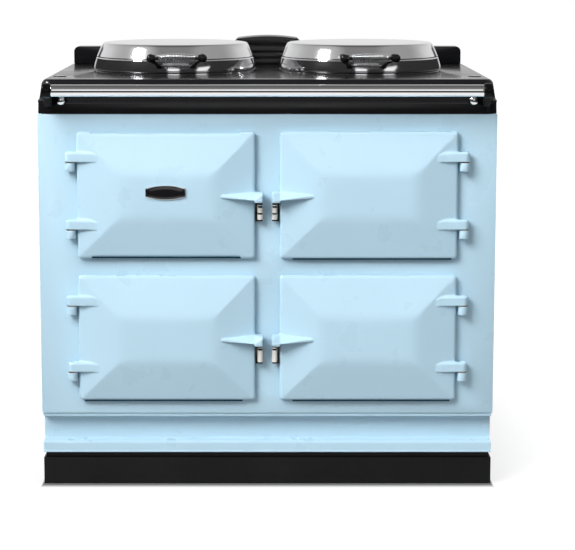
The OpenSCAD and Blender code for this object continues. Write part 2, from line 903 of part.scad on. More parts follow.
module insulation() {
    inner_w = body_w - 2 * panel_t - 2 * fill_gap;
    inner_d = body_d - front_plate_t - panel_t - 2 * fill_gap;
    oven_room = [oven_out_w + 2 * fill_gap, oven_d + oven_wall + 2 * fill_gap,
                 oven_out_h + 2 * fill_gap];
    top_w = plate_w - 2 * plate_corner_r;
    top_d = plate_d - 2 * plate_corner_r;
    base_w_in = base_w - 2 * base_board_t - 2 * fill_gap;
    base_d_in = base_d - moulding_t - base_board_t - 2 * fill_gap;
    color([0.85, 0.8, 0.6])
        difference() {
            union() {
                translate([0, (front_plate_t - panel_t) / 2, body_z])
                    block([inner_w, inner_d, body_h - fill_gap]);
                translate([0, 0, lip_z - 1])
                    block([top_w, top_d, fill_top - lip_z + 1]);
                translate([0, (moulding_t - base_board_t) / 2, moulding_z])
                    block([base_w_in, base_d_in, moulding_h + eps]);
            }
            for (o = OVENS)
                at_oven(o) {
                    translate([0, oven_room.y / 2 - fill_gap - eps, -oven_room.z / 2])
                        block([oven_room.x, oven_room.y + 2 * eps, oven_room.z]);
                    translate([0, oven_room.y / 2 - fill_gap - eps, oven_out_h / 2])
                        block([mouth_w, oven_room.y + 2 * eps, element_room]);
                }
            translate([-door_x, oven_y + control_d / 2 - eps, door_middle(1) - mouth_h / 2 - sheet_t - fill_gap])
                block([mouth_w + 2 * sheet_t + 2 * fill_gap, control_d + 2 * eps,
                       mouth_h + 2 * sheet_t + 2 * fill_gap]);
            translate([gland_x, rear_y - panel_t - 4 * gland_body_d, gland_z])
                rod_y(2 * gland_body_d, 5 * gland_body_d);
        }
}

// ---- Doors ----

// The casting's outline across one direction, in (along, depth), from its back at depth 0
function door_section(length, middle, crown) =
    let (
        half = length / 2,
        r = door_edge_r,
        soft = 18,
        band = [half - door_band_w, middle],
        rim = [half - r, door_rim_t],
        slope = (middle - door_rim_t) / (door_band_w - r),
        soft_out = band + soft * [1, -slope],
        soft_in = band - [soft, -crown / 6],
        side = concat(
            [[half, 0]],
            arc([half - r, door_rim_t - r], r, 0, 90),
            bend(soft_out, band, soft_in),
            [[half / 4, middle + 0.85 * crown]])
    )
    concat(side, [[0, middle + crown]], [for (i = [len(side) - 1:-1:0]) [-side[i].x, side[i].y]]);

// A solid with the door's outer shape, smaller all round by the given inset
module door_form(inset) {
    w = door_w - 2 * inset;
    h = door_h - 2 * inset;
    middle = door_rim_t + door_band_h;
    reach = middle + 4 * door_crown + 2 * door_edge_r;
    intersection() {
        translate([0, 0, -h / 2])
            mirror([0, 1, 0])
                linear_extrude(h)
                    polygon(door_section(w, middle, door_crown));
        translate([-w / 2, 0, 0])
            mirror([0, 1, 0])
                along_x(w)
                    polygon([for (p = door_section(h, middle + door_crown, 0)) [p.y, p.x]]);
        translate([0, -reach, 0])
            along_y(reach)
                rounded_rect(w, h, max(door_corner_r - inset, 1));
    }
}

// Places a left-hand drawing, whose hinge is on its -X side, as one of the four doors
module at_door(d) {
    mirror([d[0] > 0 ? 1 : 0, 0, 0])
        translate([-door_x, door_back_y, door_middle(d[1])])
            children();
}

// Two arms that reach over the band from the hinge axis
module hinge_arms() {
    for (start = ARM_STARTS)
        translate([-door_w / 2 - hinge_out, hinge_local_y, start - door_h / 2]) {
            cylinder(r = arm_r, h = arm_h);
            translate([0, -arm_r, 0])
                cube([arm_l, arm_r + 6, arm_h]);
        }
}

// The wing at the free side, cast on the door: a wedge with a ridge in front, and a blunt tip
module door_handle(d) {
    tip_x = door_x - handle_tip_x;
    tip_w = 17;
    back = 7;
    edge = 2;
    slope_d = 22;
    depth = handle_out - door_gap_y;
    ridge_z = handle_up - handle_ridge;
    end_x = tip_x - handle_l + handle_end_r;
    color([0.73, 0.86, 0.92])
        at_door(d)
            difference() {
                union() {
                    hull() {
                        translate([tip_x - tip_w, 0, 0])
                            along_x(tip_w - edge)
                                polygon([[-back, handle_up], [slope_d - depth, handle_up],
                                         [-depth, ridge_z], [edge - depth, ridge_z - edge],
                                         [-back, ridge_z - 2 * edge]]);
                        translate([end_x, handle_end_r - door_rim_t - door_band_h, 0])
                            sphere(handle_end_r, $fn = small_fn);
                    }
                    hull()
                        for (in = [0, edge])
                            translate([tip_x - tip_w, 0, 0])
                                along_x(tip_w - edge + in)
                                    polygon([[-back, handle_up], [slope_d - depth, handle_up - in],
                                             [in - depth, ridge_z], [in - depth, handle_bottom + edge],
                                             [in + edge - depth, handle_bottom],
                                             [-back, handle_bottom]]);
                }
                door_form(0);
            }
}

// The casting: an outer form and arms, hollow behind, with blind holes for the pins
module door_casting(d) {
    reach = 2 * (door_rim_t + door_band_h);
    color([0.73, 0.86, 0.92])
        at_door(d)
            difference() {
                union() {
                    door_form(0);
                    hinge_arms();
                }
                translate([0, door_wall, 0])
                    door_form(door_wall);
                translate([-door_w / 2 + door_wall, -door_wall, -door_h / 2 + door_wall])
                    cube([door_w - 2 * door_wall, door_wall + eps, door_h - 2 * door_wall]);
                for (start = ARM_STARTS)
                    translate([-door_w / 2 - hinge_out, hinge_local_y, start - door_h / 2 - eps])
                        cylinder(d = pin_d + 2 * pin_clear, h = pin_hole_h + eps);
                if (d == DOORS[0])
                    for (z = [-door_h / 2 - eps, door_h / 2 - step_in])
                        translate([-door_w / 2 + step_from_hinge, -reach, z])
                            cube([step_l, reach + eps, step_in + eps]);
            }
}

// A flange inside the casting's rim, and a plug that enters the doorway
module door_panel(d) {
    flange_t = 4;
    flange_w = door_w - 2 * door_wall;
    flange_h = door_h - 2 * door_wall;
    plug_w = mouth_w - 2 * plug_clear;
    plug_h = mouth_h - 2 * plug_clear;
    plug_l = plug_depth + door_gap_y;
    color([0.6, 0.6, 0.62])
        at_door(d) {
            translate([0, -flange_t, 0])
                along_y(flange_t)
                    square([flange_w, flange_h], center = true);
            translate([0, -eps, 0])
                along_y(plug_l + eps)
                    rounded_rect(plug_w, plug_h, door_corner_r);
        }
}

// A blank plate with bowed long sides and straight ends, seated on the control door
module badge() {
    face_y = door_back_y - door_rim_t - door_band_h;
    half = badge_w / 2;
    end = badge_end_h / 2;
    bulge = badge_h - end;
    top = bend([half, end], [0, bulge], [-half, end], 12);
    color([0.08, 0.08, 0.08])
        difference() {
            translate([-door_x, face_y - door_crown - badge_t, door_middle(1) + badge_up])
                along_y(badge_t + 2 * door_crown)
                    polygon(concat(top, [for (i = [len(top) - 1:-1:0]) [top[i].x, -top[i].y]]));
            at_door(DOORS[0])
                door_form(0);
        }
}

// ---- Hinges and catches on the front plate ----

module at_hinges() {
    for (d = DOORS, start = ARM_STARTS)
        translate([d[0] * hinge_x, hinge_y, door_bottom(d[1]) + start])
            children();
}

lug_top = -face_gap - washer_t;

module hinge_lugs() {
    web_w = 0.8 * lug_d;
    color([0.73, 0.86, 0.92])
        at_hinges()
            translate([0, 0, lug_top - lug_h])
                difference() {
                    union() {
                        cylinder(d = lug_d, h = lug_h);
                        translate([0, hinge_fwd / 2, 0])
                            block([web_w, hinge_fwd, lug_h]);
                    }
                    translate([0, 0, -eps])
                        cylinder(d = pin_d, h = lug_h + 2 * eps);
                }
}

// Door hinge pins, and the longer pins of the lid hinges
module hinge_pins() {
    pin_l = lug_h + washer_t + face_gap + pin_hole_h - 1;
    lid_pin_l = lid_arm_w + 2 * lid_cheek_t + 2 * face_gap;
    color([0.75, 0.75, 0.75]) {
        at_hinges()
            translate([0, 0, lug_top - lug_h])
                cylinder(d = pin_d, h = pin_l);
        for (s = [-1, 1])
            translate([s * hotplate_x - lid_pin_l / 2, lid_hinge_y, lid_hinge_z])
                rod_x(pin_d, lid_pin_l);
    }
}

module hinge_washers() {
    color([0.6, 0.45, 0.25])
        at_hinges()
            translate([0, 0, lug_top])
                difference() {
                    cylinder(d = lug_d, h = washer_t);
                    translate([0, 0, -eps])
                        cylinder(d = pin_d, h = washer_t + 2 * eps);
                }
}

module at_catch(d) {
    translate([d[0] * catch_x, catch_y, door_middle(d[1])])
        children();
}

// A web from the front plate with two ears, and the pin between them
module catch_brackets() {
    web_x = catch_web_x();
    height = catch_top - catch_bottom;
    depth = front_y - catch_y;
    color([0.04, 0.04, 0.04])
        for (d = DOORS)
            mirror([d[0] > 0 ? 0 : 1, 0, 0])
                translate([catch_x, catch_y, door_middle(d[1]) + catch_bottom]) {
                    translate([web_x - catch_x, 0, 0])
                        cube([catch_web_t, depth, height]);
                    for (z = [0, height - ear_t])
                        translate([0, 0, z]) {
                            cylinder(d = roller_d - 1, h = ear_t);
                            translate([0, -roller_d / 4, 0])
                                cube([web_x - catch_x + catch_web_t, depth + roller_d / 4, ear_t]);
                        }
                    cylinder(d = catch_pin_d, h = height);
                }
}

function catch_web_x() = door_gap_x / 2 - 1 - catch_web_t;

// A barrel with a collar above it and one band, or two with a groove between them
module catch_roller(d, bands) {
    groove_in = 1.2;
    groove_t = 3.6;
    collar_t = 3;
    collar_in = 0.5;
    barrel_l = roller_l - collar_t - groove_t;
    band_t = (barrel_l - (bands - 1) * groove_t) / bands;
    color([0.8, 0.8, 0.8])
        at_catch(d)
            translate([0, 0, catch_bottom + ear_t + face_gap])
                difference() {
                    union() {
                        cylinder(d = roller_d - 2 * groove_in, h = roller_l);
                        for (i = [0:bands - 1])
                            translate([0, 0, i * (band_t + groove_t)])
                                cylinder(d = roller_d, h = band_t);
                        translate([0, 0, roller_l - collar_t])
                            cylinder(d = roller_d - 2 * collar_in, h = collar_t);
                    }
                    translate([0, 0, -eps])
                        cylinder(d = catch_pin_d + 2 * pin_clear, h = roller_l + 2 * eps);
                }
}

// ---- Lids ----

// The lid's outer line, in (radius, height above the deck), from its crown to its rim
function lid_line(inset) =
    let (
        r = lid_r - inset,
        shoulder_in = 17,
        crown_in = 32,
        shoulder_r = r - shoulder_in,
        flat_r = r - crown_in,
        top = lid_h - inset,
        crown = top + lid_crown
    )
    concat(
        [[0, crown]],
        [for (k = [1:5]) [flat_r * k / 5, crown - lid_crown * k * k / 25]],
        bend([flat_r, top], [shoulder_r + 2, top - 0.5], [shoulder_r, lid_h - 9], 5),
        [[r - 6.5, 0.52 * lid_h], [r - 7, 0.5 * lid_h], [r - 5.5, 0.47 * lid_h],
         [r - 2, 0.28 * lid_h], [r, 0.18 * lid_h], [r, lid_z + 2]]);

// The solid inside the lid's outer line, smaller by the given inset, down to a given height
module lid_solid(inset, z0 = lid_z) {
    rotate_extrude()
        polygon(concat(lid_line(inset), [[lid_r - inset - 1, z0], [0, z0]]));
}

module at_lid(side) {
    translate([side * hotplate_x, hotplate_y, worktop_h])
        children();
}

module lid(side) {
    color([0.85, 0.85, 0.86])
        at_lid(side)
            difference() {
                lid_solid(0);
                lid_solid(lid_wall, lid_z - eps);
            }
}

// The bright inner panel that closes the lid's hollow
module lid_panel(side) {
    color([0.7, 0.7, 0.72])
        at_lid(side)
            intersection() {
                translate([0, 0, lid_panel_z])
                    cylinder(r = lid_r, h = lid_panel_t);
                lid_solid(lid_wall);
            }
}

module at_lid_handle(side) {
    at_lid(side)
        rotate([0, 0, lid_handle_turn])
            translate([0, lid_handle_y, lid_handle_h])
                children();
}

// Two posts out of the lid's side, a ball and a collar on each, and the rod between them
module lid_handle(side) {
    post_d = 10;
    collar_r = (coil_end_d + 1) / 2;
    ball_r = lid_ball_d / 2;
    rod_r = lid_rod_d / 2;
    half_rod = coil_l / 2;
    neck = acos(collar_r / ball_r);
    bar_half = concat(
        [[0, 0], [rod_r, 0], [rod_r, half_rod], [collar_r, half_rod]],
        arc([0, ball_x], ball_r, -neck, 90));
    color([0.05, 0.05, 0.05])
        difference() {
            at_lid_handle(side)
                for (s = [0, 1])
                    mirror([s, 0, 0]) {
                        rotate([0, 90, 0])
                            rotate_extrude()
                                polygon(bar_half);
                        translate([ball_x, 0, 0])
                            rod_y(post_d, -lid_handle_y - lid_seat_r + lid_ball_d);
                    }
            at_lid(side)
                cylinder(r = lid_seat_r, h = lid_h);
        }
}

// ---- Handle coil ----

coil_steps = coil_turns * 8;
coil_sides = 6;
coil_ramp = 0.05;
coil_wire_r = coil_wire_d / 2;

// Share of the turns made at a share t of the coil's length; the first and last wind up smoothly
function wound(t) =
    t < coil_ramp ? t * t / (2 * coil_ramp * (1 - coil_ramp))
    : t > 1 - coil_ramp ? 1 - (1 - t) * (1 - t) / (2 * coil_ramp * (1 - coil_ramp))
    : (t - coil_ramp / 2) / (1 - coil_ramp);

// Radius of the wire's centre line, a barrel along the coil
function coil_radius(t) =
    coil_end_d / 2 - coil_wire_r + (coil_mid_d - coil_end_d) / 2 * sin(180 * t);

// Points of the wound stretch, and a straight stretch of one wire diameter at each end
function coil_point(t) =
    let (a = 360 * coil_turns * wound(t), r = coil_radius(t))
    [(t - 0.5) * (coil_l - 2 * coil_wire_d), r * cos(a), r * sin(a)];
coil_wound = [for (i = [0:coil_steps]) coil_point(i / coil_steps)];
coil_path = concat(
    [coil_wound[0] - [coil_wire_d, 0, 0]],
    coil_wound,
    [coil_wound[coil_steps] + [coil_wire_d, 0, 0]]);

function unit(v) = v / norm(v);
function coil_tangent(i) =
    i < 2 || i > len(coil_path) - 3 ? [1, 0, 0]
    : unit(coil_path[i + 1] - coil_path[i - 1]);
function coil_ring(i) =
    let (
        p = coil_path[i],
        t = coil_tangent(i),
        out = unit([0, p.y, p.z]),
        n = unit(out - (out * t) * t),
        b = cross(t, n)
    )
    [for (k = [0:coil_sides - 1])
        p + coil_wire_r * (cos(360 * k / coil_sides) * n + sin(360 * k / coil_sides) * b)];

// Least gap between two stretches of the wire that are at least half a turn apart
coil_gap = min([
    for (i = [0:len(coil_path) - 1], j = [i + 5:1:min(i + 20, len(coil_path) - 1)])
        norm(coil_path[i] - coil_path[j])]) - coil_wire_d;
echo(coil_least_gap = coil_gap);

module coil_wire() {
    rings = len(coil_path);
    last = (rings - 1) * coil_sides;
    points = [for (i = [0:rings - 1]) each coil_ring(i)];
    sides = [
        for (i = [0:rings - 2], k = [0:coil_sides - 1])
            let (a = i * coil_sides + k, b = i * coil_sides + (k + 1) % coil_sides)
            each [[a, a + coil_sides, b], [b, a + coil_sides, b + coil_sides]]];
    ends = [
        for (k = [1:coil_sides - 2])
            each [[0, k, k + 1], [last, last + k + 1, last + k]]];
    polyhedron(points, concat(sides, ends));
}

module lid_coil(side) {
    color([0.85, 0.85, 0.85])
        at_lid_handle(side)
            coil_wire();
}

// ---- Lid hinges ----

// A knuckle on the axis and an arm forward to the lid's back
module lid_arm(side) {
    arm_z0 = -14;
    arm_z1 = 8;
    color([0.75, 0.75, 0.75])
        difference() {
            translate([side * hotplate_x - lid_arm_w / 2, lid_hinge_y, lid_hinge_z])
                difference() {
                    union() {
                        rod_x(2 * lid_knuckle_r, lid_arm_w);
                        translate([0, -lid_hinge_out - lid_r / 4, arm_z0])
                            cube([lid_arm_w, lid_hinge_out + lid_r / 4 - 4, arm_z1 - arm_z0]);
                    }
                    translate([-eps, 0, 0])
                        rod_x(pin_d + 2 * pin_clear, lid_arm_w + 2 * eps);
                }
            at_lid(side)
                lid_solid(0);
        }
}

// A foot and two cheeks behind each lid
module lid_hinge_bases() {
    foot_t = 8;
    cheek_r = 13;
    cheek_gap = lid_arm_w + 2 * face_gap;
    full_w = cheek_gap + 2 * lid_cheek_t;
    color([0.08, 0.08, 0.08])
        for (s = [-1, 1])
            translate([s * hotplate_x, lid_hinge_y, worktop_h]) {
                translate([0, 2, 0])
                    block([full_w + 16, 2 * cheek_r + 4, foot_t]);
                for (c = [-1, 1])
                    translate([c > 0 ? cheek_gap / 2 : -full_w / 2, 0, 0])
                        difference() {
                            along_x(lid_cheek_t)
                                union() {
                                    translate([0, lid_hinge_h])
                                        circle(cheek_r);
                                    translate([-cheek_r, 0])
                                        square([2 * cheek_r, lid_hinge_h]);
                                }
                            translate([-eps, 0, lid_hinge_h])
                                rod_x(pin_d, lid_cheek_t + 2 * eps);
                        }
            }
}

// ---- The assembly ----

plinth_boards();
base_plate();
levelling_feet();
base_moulding();
front_plate();
side_panels();
back_panel();
cable_gland();
top_plate();
rear_upstand();
vent_cap();
hand_rail();
rail_brackets();
rail_bolts();
top_plate_plugs();
hotplates();
hotplate_rings();
hotplate_elements();
oven(OVENS[0]);  // roasting_oven
oven(OVENS[1]);  // baking_oven
oven(OVENS[2]);  // simmering_oven
oven_elements();
oven_shelves();
control_panel();
insulation();
hinge_lugs();
hinge_pins();
hinge_washers();
catch_brackets();
catch_roller(DOORS[0], 2);  // catch_roller_control
catch_roller(DOORS[1], 2);  // catch_roller_roasting
catch_roller(DOORS[2], 1);  // catch_roller_baking
catch_roller(DOORS[3], 1);  // catch_roller_simmering
control_knob(-1);  // control_knob_left
control_knob(0);  // control_knob_middle
control_knob(1);  // control_knob_right
door_casting(DOORS[0]);  // control_door
door_casting(DOORS[1]);  // roasting_door
door_casting(DOORS[2]);  // baking_door
door_casting(DOORS[3]);  // simmering_door
door_handle(DOORS[0]);  // control_handle
door_handle(DOORS[1]);  // roasting_handle
door_handle(DOORS[2]);  // baking_handle
door_handle(DOORS[3]);  // simmering_handle
door_panel(DOORS[0]);  // control_door_panel
door_panel(DOORS[1]);  // roasting_door_panel
door_panel(DOORS[2]);  // baking_door_panel
door_panel(DOORS[3]);  // simmering_door_panel
badge();
lid(-1);  // lid_left
lid(1);  // lid_right
lid_panel(-1);  // lid_panel_left
lid_panel(1);  // lid_panel_right
lid_coil(-1);  // lid_coil_left
lid_coil(1);  // lid_coil_right
lid_handle(-1);  // lid_handle_left
lid_handle(1);  // lid_handle_right
lid_arm(-1);  // lid_arm_left
lid_arm(1);  // lid_arm_right
lid_hinge_bases();
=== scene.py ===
import json
import math

import bmesh
import bpy
import numpy as np
from mathutils import Matrix, Vector

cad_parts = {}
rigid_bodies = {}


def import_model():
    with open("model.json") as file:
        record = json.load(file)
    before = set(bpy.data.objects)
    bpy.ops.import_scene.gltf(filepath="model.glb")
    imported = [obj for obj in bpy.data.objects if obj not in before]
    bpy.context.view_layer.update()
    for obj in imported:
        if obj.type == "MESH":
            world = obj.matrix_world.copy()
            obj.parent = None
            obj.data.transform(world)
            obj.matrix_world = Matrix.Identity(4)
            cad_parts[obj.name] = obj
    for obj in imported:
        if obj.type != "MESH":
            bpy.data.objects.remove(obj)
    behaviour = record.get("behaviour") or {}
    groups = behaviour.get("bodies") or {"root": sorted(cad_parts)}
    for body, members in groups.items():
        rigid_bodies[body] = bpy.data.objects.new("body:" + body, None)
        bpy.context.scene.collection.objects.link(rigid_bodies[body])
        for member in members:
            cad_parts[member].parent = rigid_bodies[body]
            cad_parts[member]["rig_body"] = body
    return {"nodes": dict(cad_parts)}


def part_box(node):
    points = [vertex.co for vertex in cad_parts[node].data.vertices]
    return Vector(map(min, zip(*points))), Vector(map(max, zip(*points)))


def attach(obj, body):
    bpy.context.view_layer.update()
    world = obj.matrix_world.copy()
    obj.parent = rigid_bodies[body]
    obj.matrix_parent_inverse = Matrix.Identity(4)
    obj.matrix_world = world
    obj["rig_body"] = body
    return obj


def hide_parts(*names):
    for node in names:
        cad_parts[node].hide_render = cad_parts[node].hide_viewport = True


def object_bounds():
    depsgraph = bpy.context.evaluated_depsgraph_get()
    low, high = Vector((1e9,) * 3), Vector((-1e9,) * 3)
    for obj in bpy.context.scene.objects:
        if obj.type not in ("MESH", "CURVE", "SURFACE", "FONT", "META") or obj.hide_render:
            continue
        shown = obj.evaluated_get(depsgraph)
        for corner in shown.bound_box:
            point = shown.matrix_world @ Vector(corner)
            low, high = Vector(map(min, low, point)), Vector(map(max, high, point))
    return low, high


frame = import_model()
NODES = frame["nodes"]
cad_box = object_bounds()
MM = 0.001

# ---- Materials ----


def linear(*rgb):
    """Linear colour of an sRGB colour given as 0 to 255."""
    out = []
    for c in rgb:
        c = c / 255
        out.append(c / 12.92 if c <= 0.04045 else ((c + 0.055) / 1.055) ** 2.4)
    return tuple(out)


class Net:
    """A node tree, with short calls to add and link its nodes."""

    def __init__(self, tree):
        self.nodes = tree.nodes
        self.links = tree.links

    def add(self, kind, _props=(), **values):
        """A new shader node, with its properties and its inputs by name."""
        node = self.nodes.new("ShaderNode" + kind)
        for key, value in dict(_props).items():
            setattr(node, key, value)
        for key, value in values.items():
            self.put(node.inputs[key.replace("_", " ")], value)
        return node

    def put(self, socket, value):
        """Links the socket to another one, or gives it a constant."""
        if isinstance(value, bpy.types.NodeSocket):
            self.links.new(value, socket)
        else:
            socket.default_value = value

    def math(self, operation, a, b=0.0):
        node = self.nodes.new("ShaderNodeMath")
        node.operation = operation
        self.put(node.inputs[0], a)
        self.put(node.inputs[1], b)
        return node.outputs[0]

    def spread(self, value, lo, hi, out_lo=0.0, out_hi=1.0):
        """The value's place between lo and hi, as one between out_lo and out_hi."""
        node = self.add("MapRange")
        for socket, v in zip(node.inputs, (value, lo, hi, out_lo, out_hi)):
            self.put(socket, v)
        return node.outputs[0]

    def mix(self, fac, a, b):
        """Colour a where fac is 0 and colour b where it is 1."""
        node = self.nodes.new("ShaderNodeMix")
        node.data_type = "RGBA"
        for key, v in ((0, fac), (6, a), (7, b)):
            self.put(node.inputs[key], v)
        return node.outputs[2]

    def shaders(self, fac, a, b):
        """Shader a where fac is 0 and shader b where it is 1."""
        node = self.nodes.new("ShaderNodeMixShader")
        for socket, v in zip(node.inputs, (fac, a, b)):
            self.put(socket, v)
        return node.outputs[0]


class Graph(Net):
    """A material with its Principled shader, and the textures it is made with."""

    def __init__(self, name, **sockets):
        self.mat = bpy.data.materials.new(name)
        self.mat.use_nodes = True
        super().__init__(self.mat.node_tree)
        self.shader = self.nodes["Principled BSDF"]
        for key, value in sockets.items():
            self.shader.inputs[key.replace("_", " ")].default_value = value

    def place(self, stretch):
        """The object's own coordinates, scaled on each axis."""
        coords = self.add("TexCoord").outputs["Object"]
        node = self.add("Mapping", Scale=stretch)
        self.put(node.inputs["Vector"], coords)
        return node.outputs[0]

    def noise(self, scale, detail, rough=0.55, stretch=(1, 1, 1)):
        node = self.add("TexNoise", Scale=scale, Detail=detail, Roughness=rough)
        self.put(node.inputs["Vector"], self.place(stretch))
        return node.outputs["Fac"]

    def bump(self, height, strength, distance, normal=None):
        """A normal bent by a height, on top of another normal where one is given."""
        node = self.add("Bump", Strength=strength, Distance=distance)
        self.put(node.inputs["Height"], height)
        if normal is not None:
            self.put(node.inputs["Normal"], normal)
        return node.outputs[0]


def rgba(c, k):
    """The colour made k times as bright, with its alpha."""
    return tuple(min(1.0, v * k) for v in c) + (1.0,)


WORN_PALER = 6.0


def coated(name, color, rough, spec, coat=0.0, vary=0.1, peel=0.03, edge=0.0):
    """Enamel or paint: cloudy colour, an orange peel skin, and paler colour on worn edges."""
    g = Graph(name, Metallic=0.0, Specular_IOR_Level=spec, Coat_Weight=coat, Coat_Roughness=0.12)
    cloud = g.noise(5.0, 4.0)
    shade = g.mix(g.spread(cloud, 0.3, 0.7), rgba(color, 1 - vary), rgba(color, 1 + vary))
    if edge:
        point = g.add("NewGeometry").outputs["Pointiness"]
        worn = g.math("MULTIPLY", g.spread(point, 0.53, 0.6, 0.0, edge), g.noise(60.0, 4.0))
        shade = g.mix(worn, shade, rgba(color, WORN_PALER))
    g.put(g.shader.inputs["Base Color"], shade)
    g.put(g.shader.inputs["Roughness"],
          g.spread(g.noise(14.0, 5.0), 0.25, 0.75, rough * 0.82, rough * 1.2))
    wave = g.bump(g.noise(42.0, 2.0), peel * 0.3, 0.004)
    g.put(g.shader.inputs["Normal"], g.bump(g.noise(420.0, 2.0), peel * 1.4, 0.0006, wave))
    return g.mat


def metal(name, color, rough, vary, scratch, stretch=(1, 1, 1), dirt=0.0, wave=0.0, bare=1.0):
    """Bare or plated metal: fine scratches along the stretched axes, clouds of dull film."""
    g = Graph(name, Metallic=bare)
    film = g.spread(g.noise(9.0, 5.0), 0.3, 0.75)
    shade = g.mix(film, rgba(color, 1 - vary), rgba(color, 1 + vary))
    if dirt:
        smudge = g.spread(g.noise(30.0, 8.0, 0.7), 0.52, 0.72, 0.0, dirt)
        shade = g.mix(smudge, shade, rgba(color, 0.5))
    g.put(g.shader.inputs["Base Color"], shade)
    lines = g.noise(700.0, 3.0, 0.6, stretch)
    g.put(g.shader.inputs["Roughness"], g.spread(
        g.math("ADD", g.math("MULTIPLY", lines, 0.6), g.math("MULTIPLY", film, 0.4)),
        0.2, 0.8, rough * 0.7, rough * 1.35))
    normal = g.bump(lines, scratch, 0.0002)
    if wave:
        normal = g.bump(g.noise(16.0, 1.0), wave, 0.004, normal)
    g.put(g.shader.inputs["Normal"], normal)
    return g.mat


def iron(name, color, rough, grain, rings=0.0, centre=(0, 0)):
    """Cast iron: a sandy skin with pores, or a machined face with fine turned rings."""
    g = Graph(name, Metallic=0.75 if rings else 0.25, Specular_IOR_Level=0.4)
    cloud = g.noise(12.0, 6.0)
    g.put(g.shader.inputs["Base Color"],
          g.mix(g.spread(cloud, 0.3, 0.7), rgba(color, 0.7), rgba(color, 1.35)))
    g.put(g.shader.inputs["Roughness"], g.spread(cloud, 0.3, 0.7, rough * 0.85, rough * 1.15))
    normal = g.bump(g.noise(260.0, 6.0, 0.7), grain, 0.0012)
    if rings:
        node = g.add("Mapping", Location=(-centre[0], -centre[1], 0))
        g.put(node.inputs["Vector"], g.add("TexCoord").outputs["Object"])
        wave = g.add("TexWave", {"wave_type": "RINGS", "rings_direction": "Z"},
                     Scale=160.0, Distortion=0.0)
        g.put(wave.inputs["Vector"], node.outputs[0])
        normal = g.bump(wave.outputs["Fac"], rings, 0.0004, normal)
    g.put(g.shader.inputs["Normal"], normal)
    return g.mat


# The second colour is painted shade, the dark teal of the shadow line under each door.
BLUE, SHADE_LINE_BLUE = linear(186, 218, 235), linear(10, 52, 70)
BLACK, DEEP_BLACK = (0.006, 0.006, 0.007), (0.004, 0.004, 0.004)
MATS = {
    "blue_enamel": coated("cast_enamel_blue", BLUE, 0.3, 0.4, 0.12, 0.015, 0.05),
    "black_enamel": coated("cast_enamel_black", BLACK, 0.13, 0.42, edge=0.05),
    "deck_enamel": coated("deck_enamel_black", BLACK, 0.19, 0.45, edge=0.05),
    "bracket_black": coated("bracket_enamel", DEEP_BLACK, 0.14, 0.1),
    "badge_black": coated("badge_plate", BLACK, 0.14, 0.5, 0.5),
    "plinth_black": coated("painted_board_black", (0.0075, 0.0075, 0.0078), 0.55, 0.12,
                           vary=0.2, peel=0.12, edge=0.1),
    "vent_black": coated("cast_vent_black", (0.006, 0.006, 0.006), 0.24, 0.4,
                         peel=0.08, edge=0.05),
    # Painted shade: this near-black, darker than the plinth's paint, stands for the deep shade of
    # the recess above the plinth.
    "base_steel": coated("base_black_painted_shade", (0.003, 0.003, 0.003), 0.42, 0.15,
                         vary=0.15, peel=0.08),
    "handle_black": coated("handle_black_gloss", (0.005, 0.005, 0.005), 0.16, 0.5,
                           vary=0.15, peel=0.04, edge=0.06),
    "knob_plastic": coated("knob_black", (0.012, 0.012, 0.013), 0.32, 0.45,
                           vary=0.15, peel=0.1, edge=0.1),
    "gland_plastic": coated("gland_nylon", (0.016, 0.016, 0.017), 0.5, 0.4, peel=0.2, edge=0.1),
    "control_sheet": coated("control_sheet_grey", (0.45, 0.45, 0.46), 0.45, 0.4,
                            vary=0.04, peel=0.15),
    "insulation": coated("mineral_wool", (0.5, 0.42, 0.28), 0.95, 0.1, vary=0.25, peel=1.0),
    # Painted shade: the dark strip that stands for the shadow line under the doors.
    "door_shade_line": coated("door_shade_line", SHADE_LINE_BLUE, 0.8, 0.1, vary=0.2, peel=0.3),
    "back_steel": metal("galvanised_steel", (0.52, 0.53, 0.54), 0.42, 0.12, 0.2, dirt=0.2),
    "chrome": metal("plated_chrome", (0.86, 0.86, 0.87), 0.07, 0.02, 0.02, (0.05, 1, 1), 0.03),
    "lid_metal": metal("polished_lid", (0.84, 0.84, 0.85), 0.085, 0.02, 0.02, (1, 1, 0.1), 0.04,
                       0.02),
    "panel_aluminium": metal("pressed_aluminium", (0.62, 0.62, 0.63), 0.3, 0.08, 0.12,
                             (0.08, 1, 1), 0.3),
    "element_steel": metal("element_sheath", (0.2, 0.17, 0.15), 0.5, 0.2, 0.2),
    "shelf_chrome": metal("shelf_wire", (0.68, 0.68, 0.69), 0.2, 0.05, 0.06),
    "washer_brass": metal("washer_bronze", (0.42, 0.27, 0.16), 0.28, 0.1, 0.1),
    "roller_steel": metal("roller_steel", (0.92, 0.88, 0.83), 0.33, 0.04, 0.1, (1, 1, 0.05), 0.1,
                          bare=0.3),
    "cast_iron": iron("cast_iron_dark", (0.035, 0.034, 0.033), 0.55, 0.35),
    "hotplate_iron": iron("hotplate_machined", (0.09, 0.088, 0.085), 0.38, 0.08, 0.35, (0.213, 0)),
}

# ---- Mesh tools, all in millimetres ----


def piece(name, verts, faces, slot, body, replaces=(), sharp=35.0, mat=None):
    """A smooth shaded mesh that rides on a body and stands for CAD nodes."""
    mesh = bpy.data.meshes.new(name)
    mesh.from_pydata([tuple(float(c) * MM for c in v) for v in verts], [],
                     [tuple(int(i) for i in f) for f in faces])
    mesh.update()
    bm = bmesh.new()
    bm.from_mesh(mesh)
    bmesh.ops.remove_doubles(bm, verts=bm.verts, dist=1e-6)
    bmesh.ops.recalc_face_normals(bm, faces=bm.faces)
    bm.to_mesh(mesh)
    bm.free()
    register(name, mesh, slot, body, replaces, sharp, mat)


